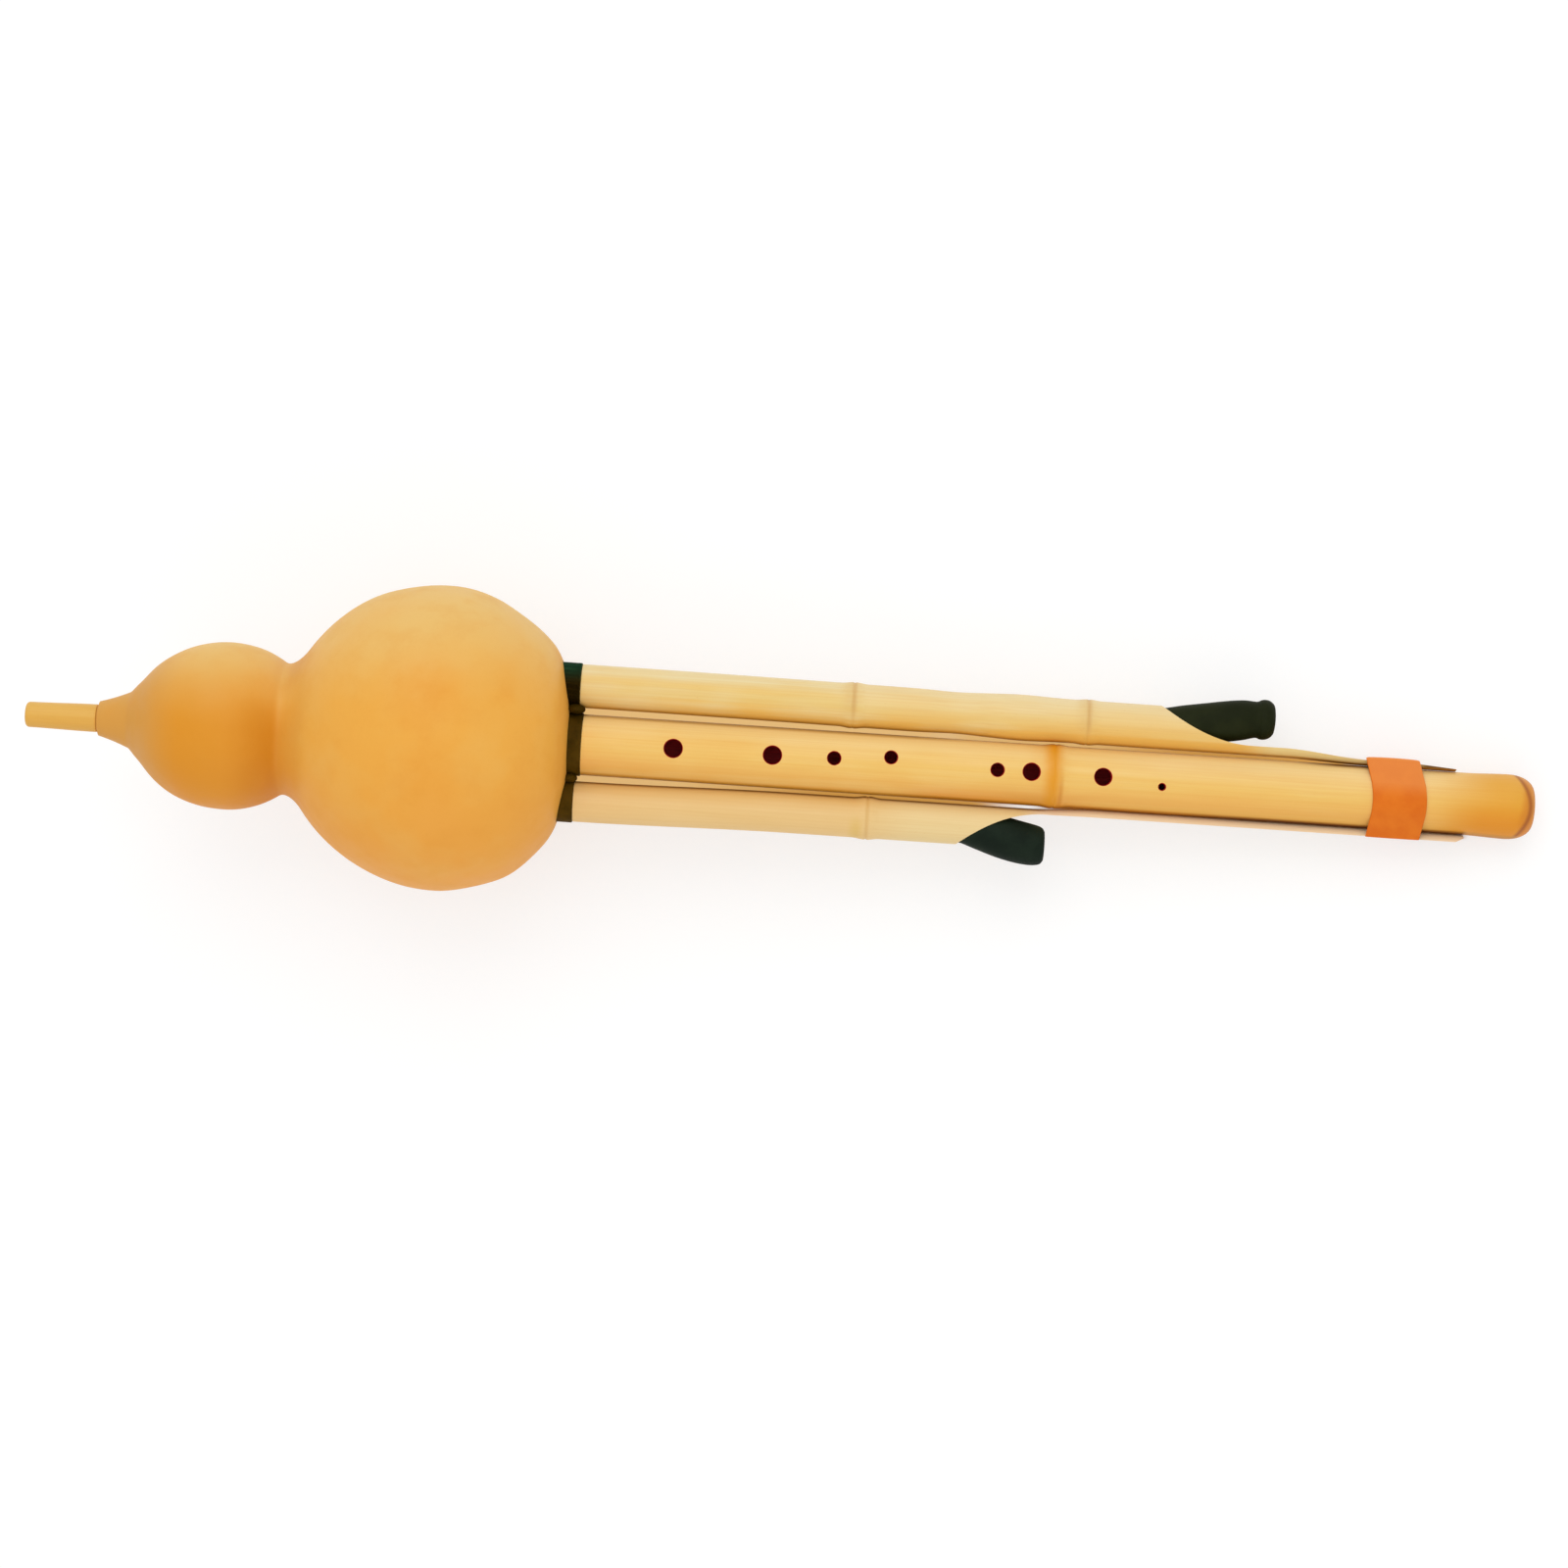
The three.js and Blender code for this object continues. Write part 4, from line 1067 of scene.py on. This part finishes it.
def dress_reeds():
    """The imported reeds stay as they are, and take their brass."""
    for reed in ("main_reed", "long_drone_reed", "short_drone_reed"):
        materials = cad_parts[reed].data.materials
        materials.clear()
        materials.append(REED_BRASS)


make_gourd()
make_mouthpiece()
make_main_pipe()
make_drone(LONG, LONG_BAMBOO, "long_drone_bamboo", "long_drone_pipe")
make_drone(SHORT, SHORT_BAMBOO, "short_drone_bamboo", "short_drone_pipe")
make_collar(MAIN, COLLAR_RUBBER, "main_collar_rubber", "main_collar")
make_collar(LONG, LONG_COLLAR_RUBBER, "long_collar_rubber", "long_drone_collar")
make_collar(SHORT, COLLAR_RUBBER, "short_collar_rubber", "short_drone_collar")
make_plug(LONG, LONG_PLUG, LONG_RUBBER, "long_plug_rubber", "long_drone_plug", "long_stopper")
make_plug(SHORT, SHORT_PLUG, SHORT_RUBBER, "short_plug_rubber", "short_drone_plug", "short_stopper")
make_band()
dress_reeds()


# The room, the light and the camera. The floor and the lamps are in metres.

FLOOR = Values(size=6, tone=0.95, seen_tone=0.42, seen_glow=0.61, roughness=0.9)
WORLD_STRENGTH = 0.72
LAMPS = [
    Values(name="key", place=(-0.1, 1.1, 1.5), size=1.4, power=9),
    Values(name="top", place=(0.1, 0.1, 2.0), size=1.2, power=3.2),
    Values(name="fill", place=(0.1, -1.2, 0.9), size=1.2, power=3),
]
# In the flute's XY plane, the aim is the middle of the picture, and right runs to its right side.
CAMERA = Values(distance=1080, aim=(57.9, -7.3), right=(0.99776, 0.06697), view_width=444.8, sensor=36)

# Painted warm shade and bounce light on the floor under the pipes, in the flute's frame. A patch is full as
# far as its plateau on both sides of its place along Y, and ends at its reach. Along X it begins over the
# stations in start and ends over those in end.
PAINTED_FLOOR_SHADE = [
    Values(place=0, plateau=10.5, reach=22, start=(-60, -5), end=(122, 96), colour=(234, 196, 132)),
    Values(place=10, plateau=1, reach=7, start=(90, 112), end=(185, 160), colour=(230, 190, 124)),
    Values(place=-10, plateau=0.5, reach=6, start=(20, 75), end=(130, 112), colour=(208, 156, 78)),
    Values(place=9.4, plateau=0.3, reach=2.4, start=(140, 172), end=(228, 216), colour=(216, 162, 84)),
    Values(place=-9.1, plateau=0.2, reach=1.4, start=(128, 140), end=(255, 250), colour=(150, 92, 34)),
]


def floor_paper(name):
    """White paper with painted warm shade and bounce light. To the camera it is partly lit from within, so
    shadows are faint.
    """
    material, tree, shader = new_material(name)
    seen = add(tree, "LightPath").outputs["Is Camera Ray"]
    colour = (255, 255, 255)
    for shade_patch in PAINTED_FLOOR_SHADE:
        aside = calc(tree, "ABSOLUTE", calc(tree, "SUBTRACT", place_of(tree, "Y"), shade_patch.place))
        share = product(tree, between(tree, aside, shade_patch.reach, shade_patch.plateau), along(tree, *shade_patch.start),
                        along(tree, *shade_patch.end))
        colour = tint(tree, share, colour, shade_patch.colour)
    tone = between(tree, seen, 0, 1, FLOOR.tone, FLOOR.seen_tone)
    base = add(tree, "VectorMath", {0: colour, "Scale": tone}, operation="SCALE").outputs[0]
    fill(tree, shader, {
        "Base Color": base, "Roughness": FLOOR.roughness, "Specular IOR Level": 0,
        "Emission Color": colour, "Emission Strength": calc(tree, "MULTIPLY", seen, FLOOR.seen_glow),
    })
    return material


def make_floor():
    bm = bmesh.new()
    bmesh.ops.create_grid(bm, x_segments=1, y_segments=1, size=FLOOR.size / 2)
    meshed("floor", bm, floor_paper("floor_paper"))


def make_world():
    """A white room, whose light is softer than its look."""
    world = bpy.data.worlds.new("studio")
    world.use_nodes = True
    tree = world.node_tree
    path = add(tree, "LightPath").outputs
    seen = calc(tree, "MAXIMUM", path["Is Camera Ray"], path["Is Glossy Ray"])
    seen = calc(tree, "MAXIMUM", seen, path["Is Transmission Ray"])
    strength = between(tree, seen, 0, 1, WORLD_STRENGTH, 1)
    fill(tree, tree.nodes["Background"], {"Color": (1, 1, 1, 1), "Strength": strength})
    bpy.context.scene.world = world


def make_lamp(shape):
    """A square softbox, which faces the middle of the flute."""
    lamp = bpy.data.lights.new(shape.name, "AREA")
    lamp.shape = "SQUARE"
    lamp.size = shape.size
    lamp.energy = shape.power
    place = Vector(shape.place)
    turn = place.to_track_quat("Z", "Y").to_matrix().to_4x4()
    placed(shape.name, lamp).matrix_world = Matrix.Translation(place) @ turn


def make_camera():
    shape = CAMERA
    camera = bpy.data.cameras.new("camera")
    camera.sensor_width = shape.sensor
    camera.lens = shape.sensor * shape.distance / shape.view_width
    x, y = shape.right
    turn = Matrix(((x, y, 0), (-y, x, 0), (0, 0, 1))).transposed().to_4x4()
    spot = Vector((*shape.aim, shape.distance)) * MM
    made = placed("camera", camera)
    made.matrix_world = FLUTE @ Matrix.Translation(spot) @ turn
    bpy.context.scene.camera = made


make_floor()
make_world()
for lamp in LAMPS:
    make_lamp(lamp)
make_camera()
bpy.context.scene.view_settings.view_transform = "Standard"
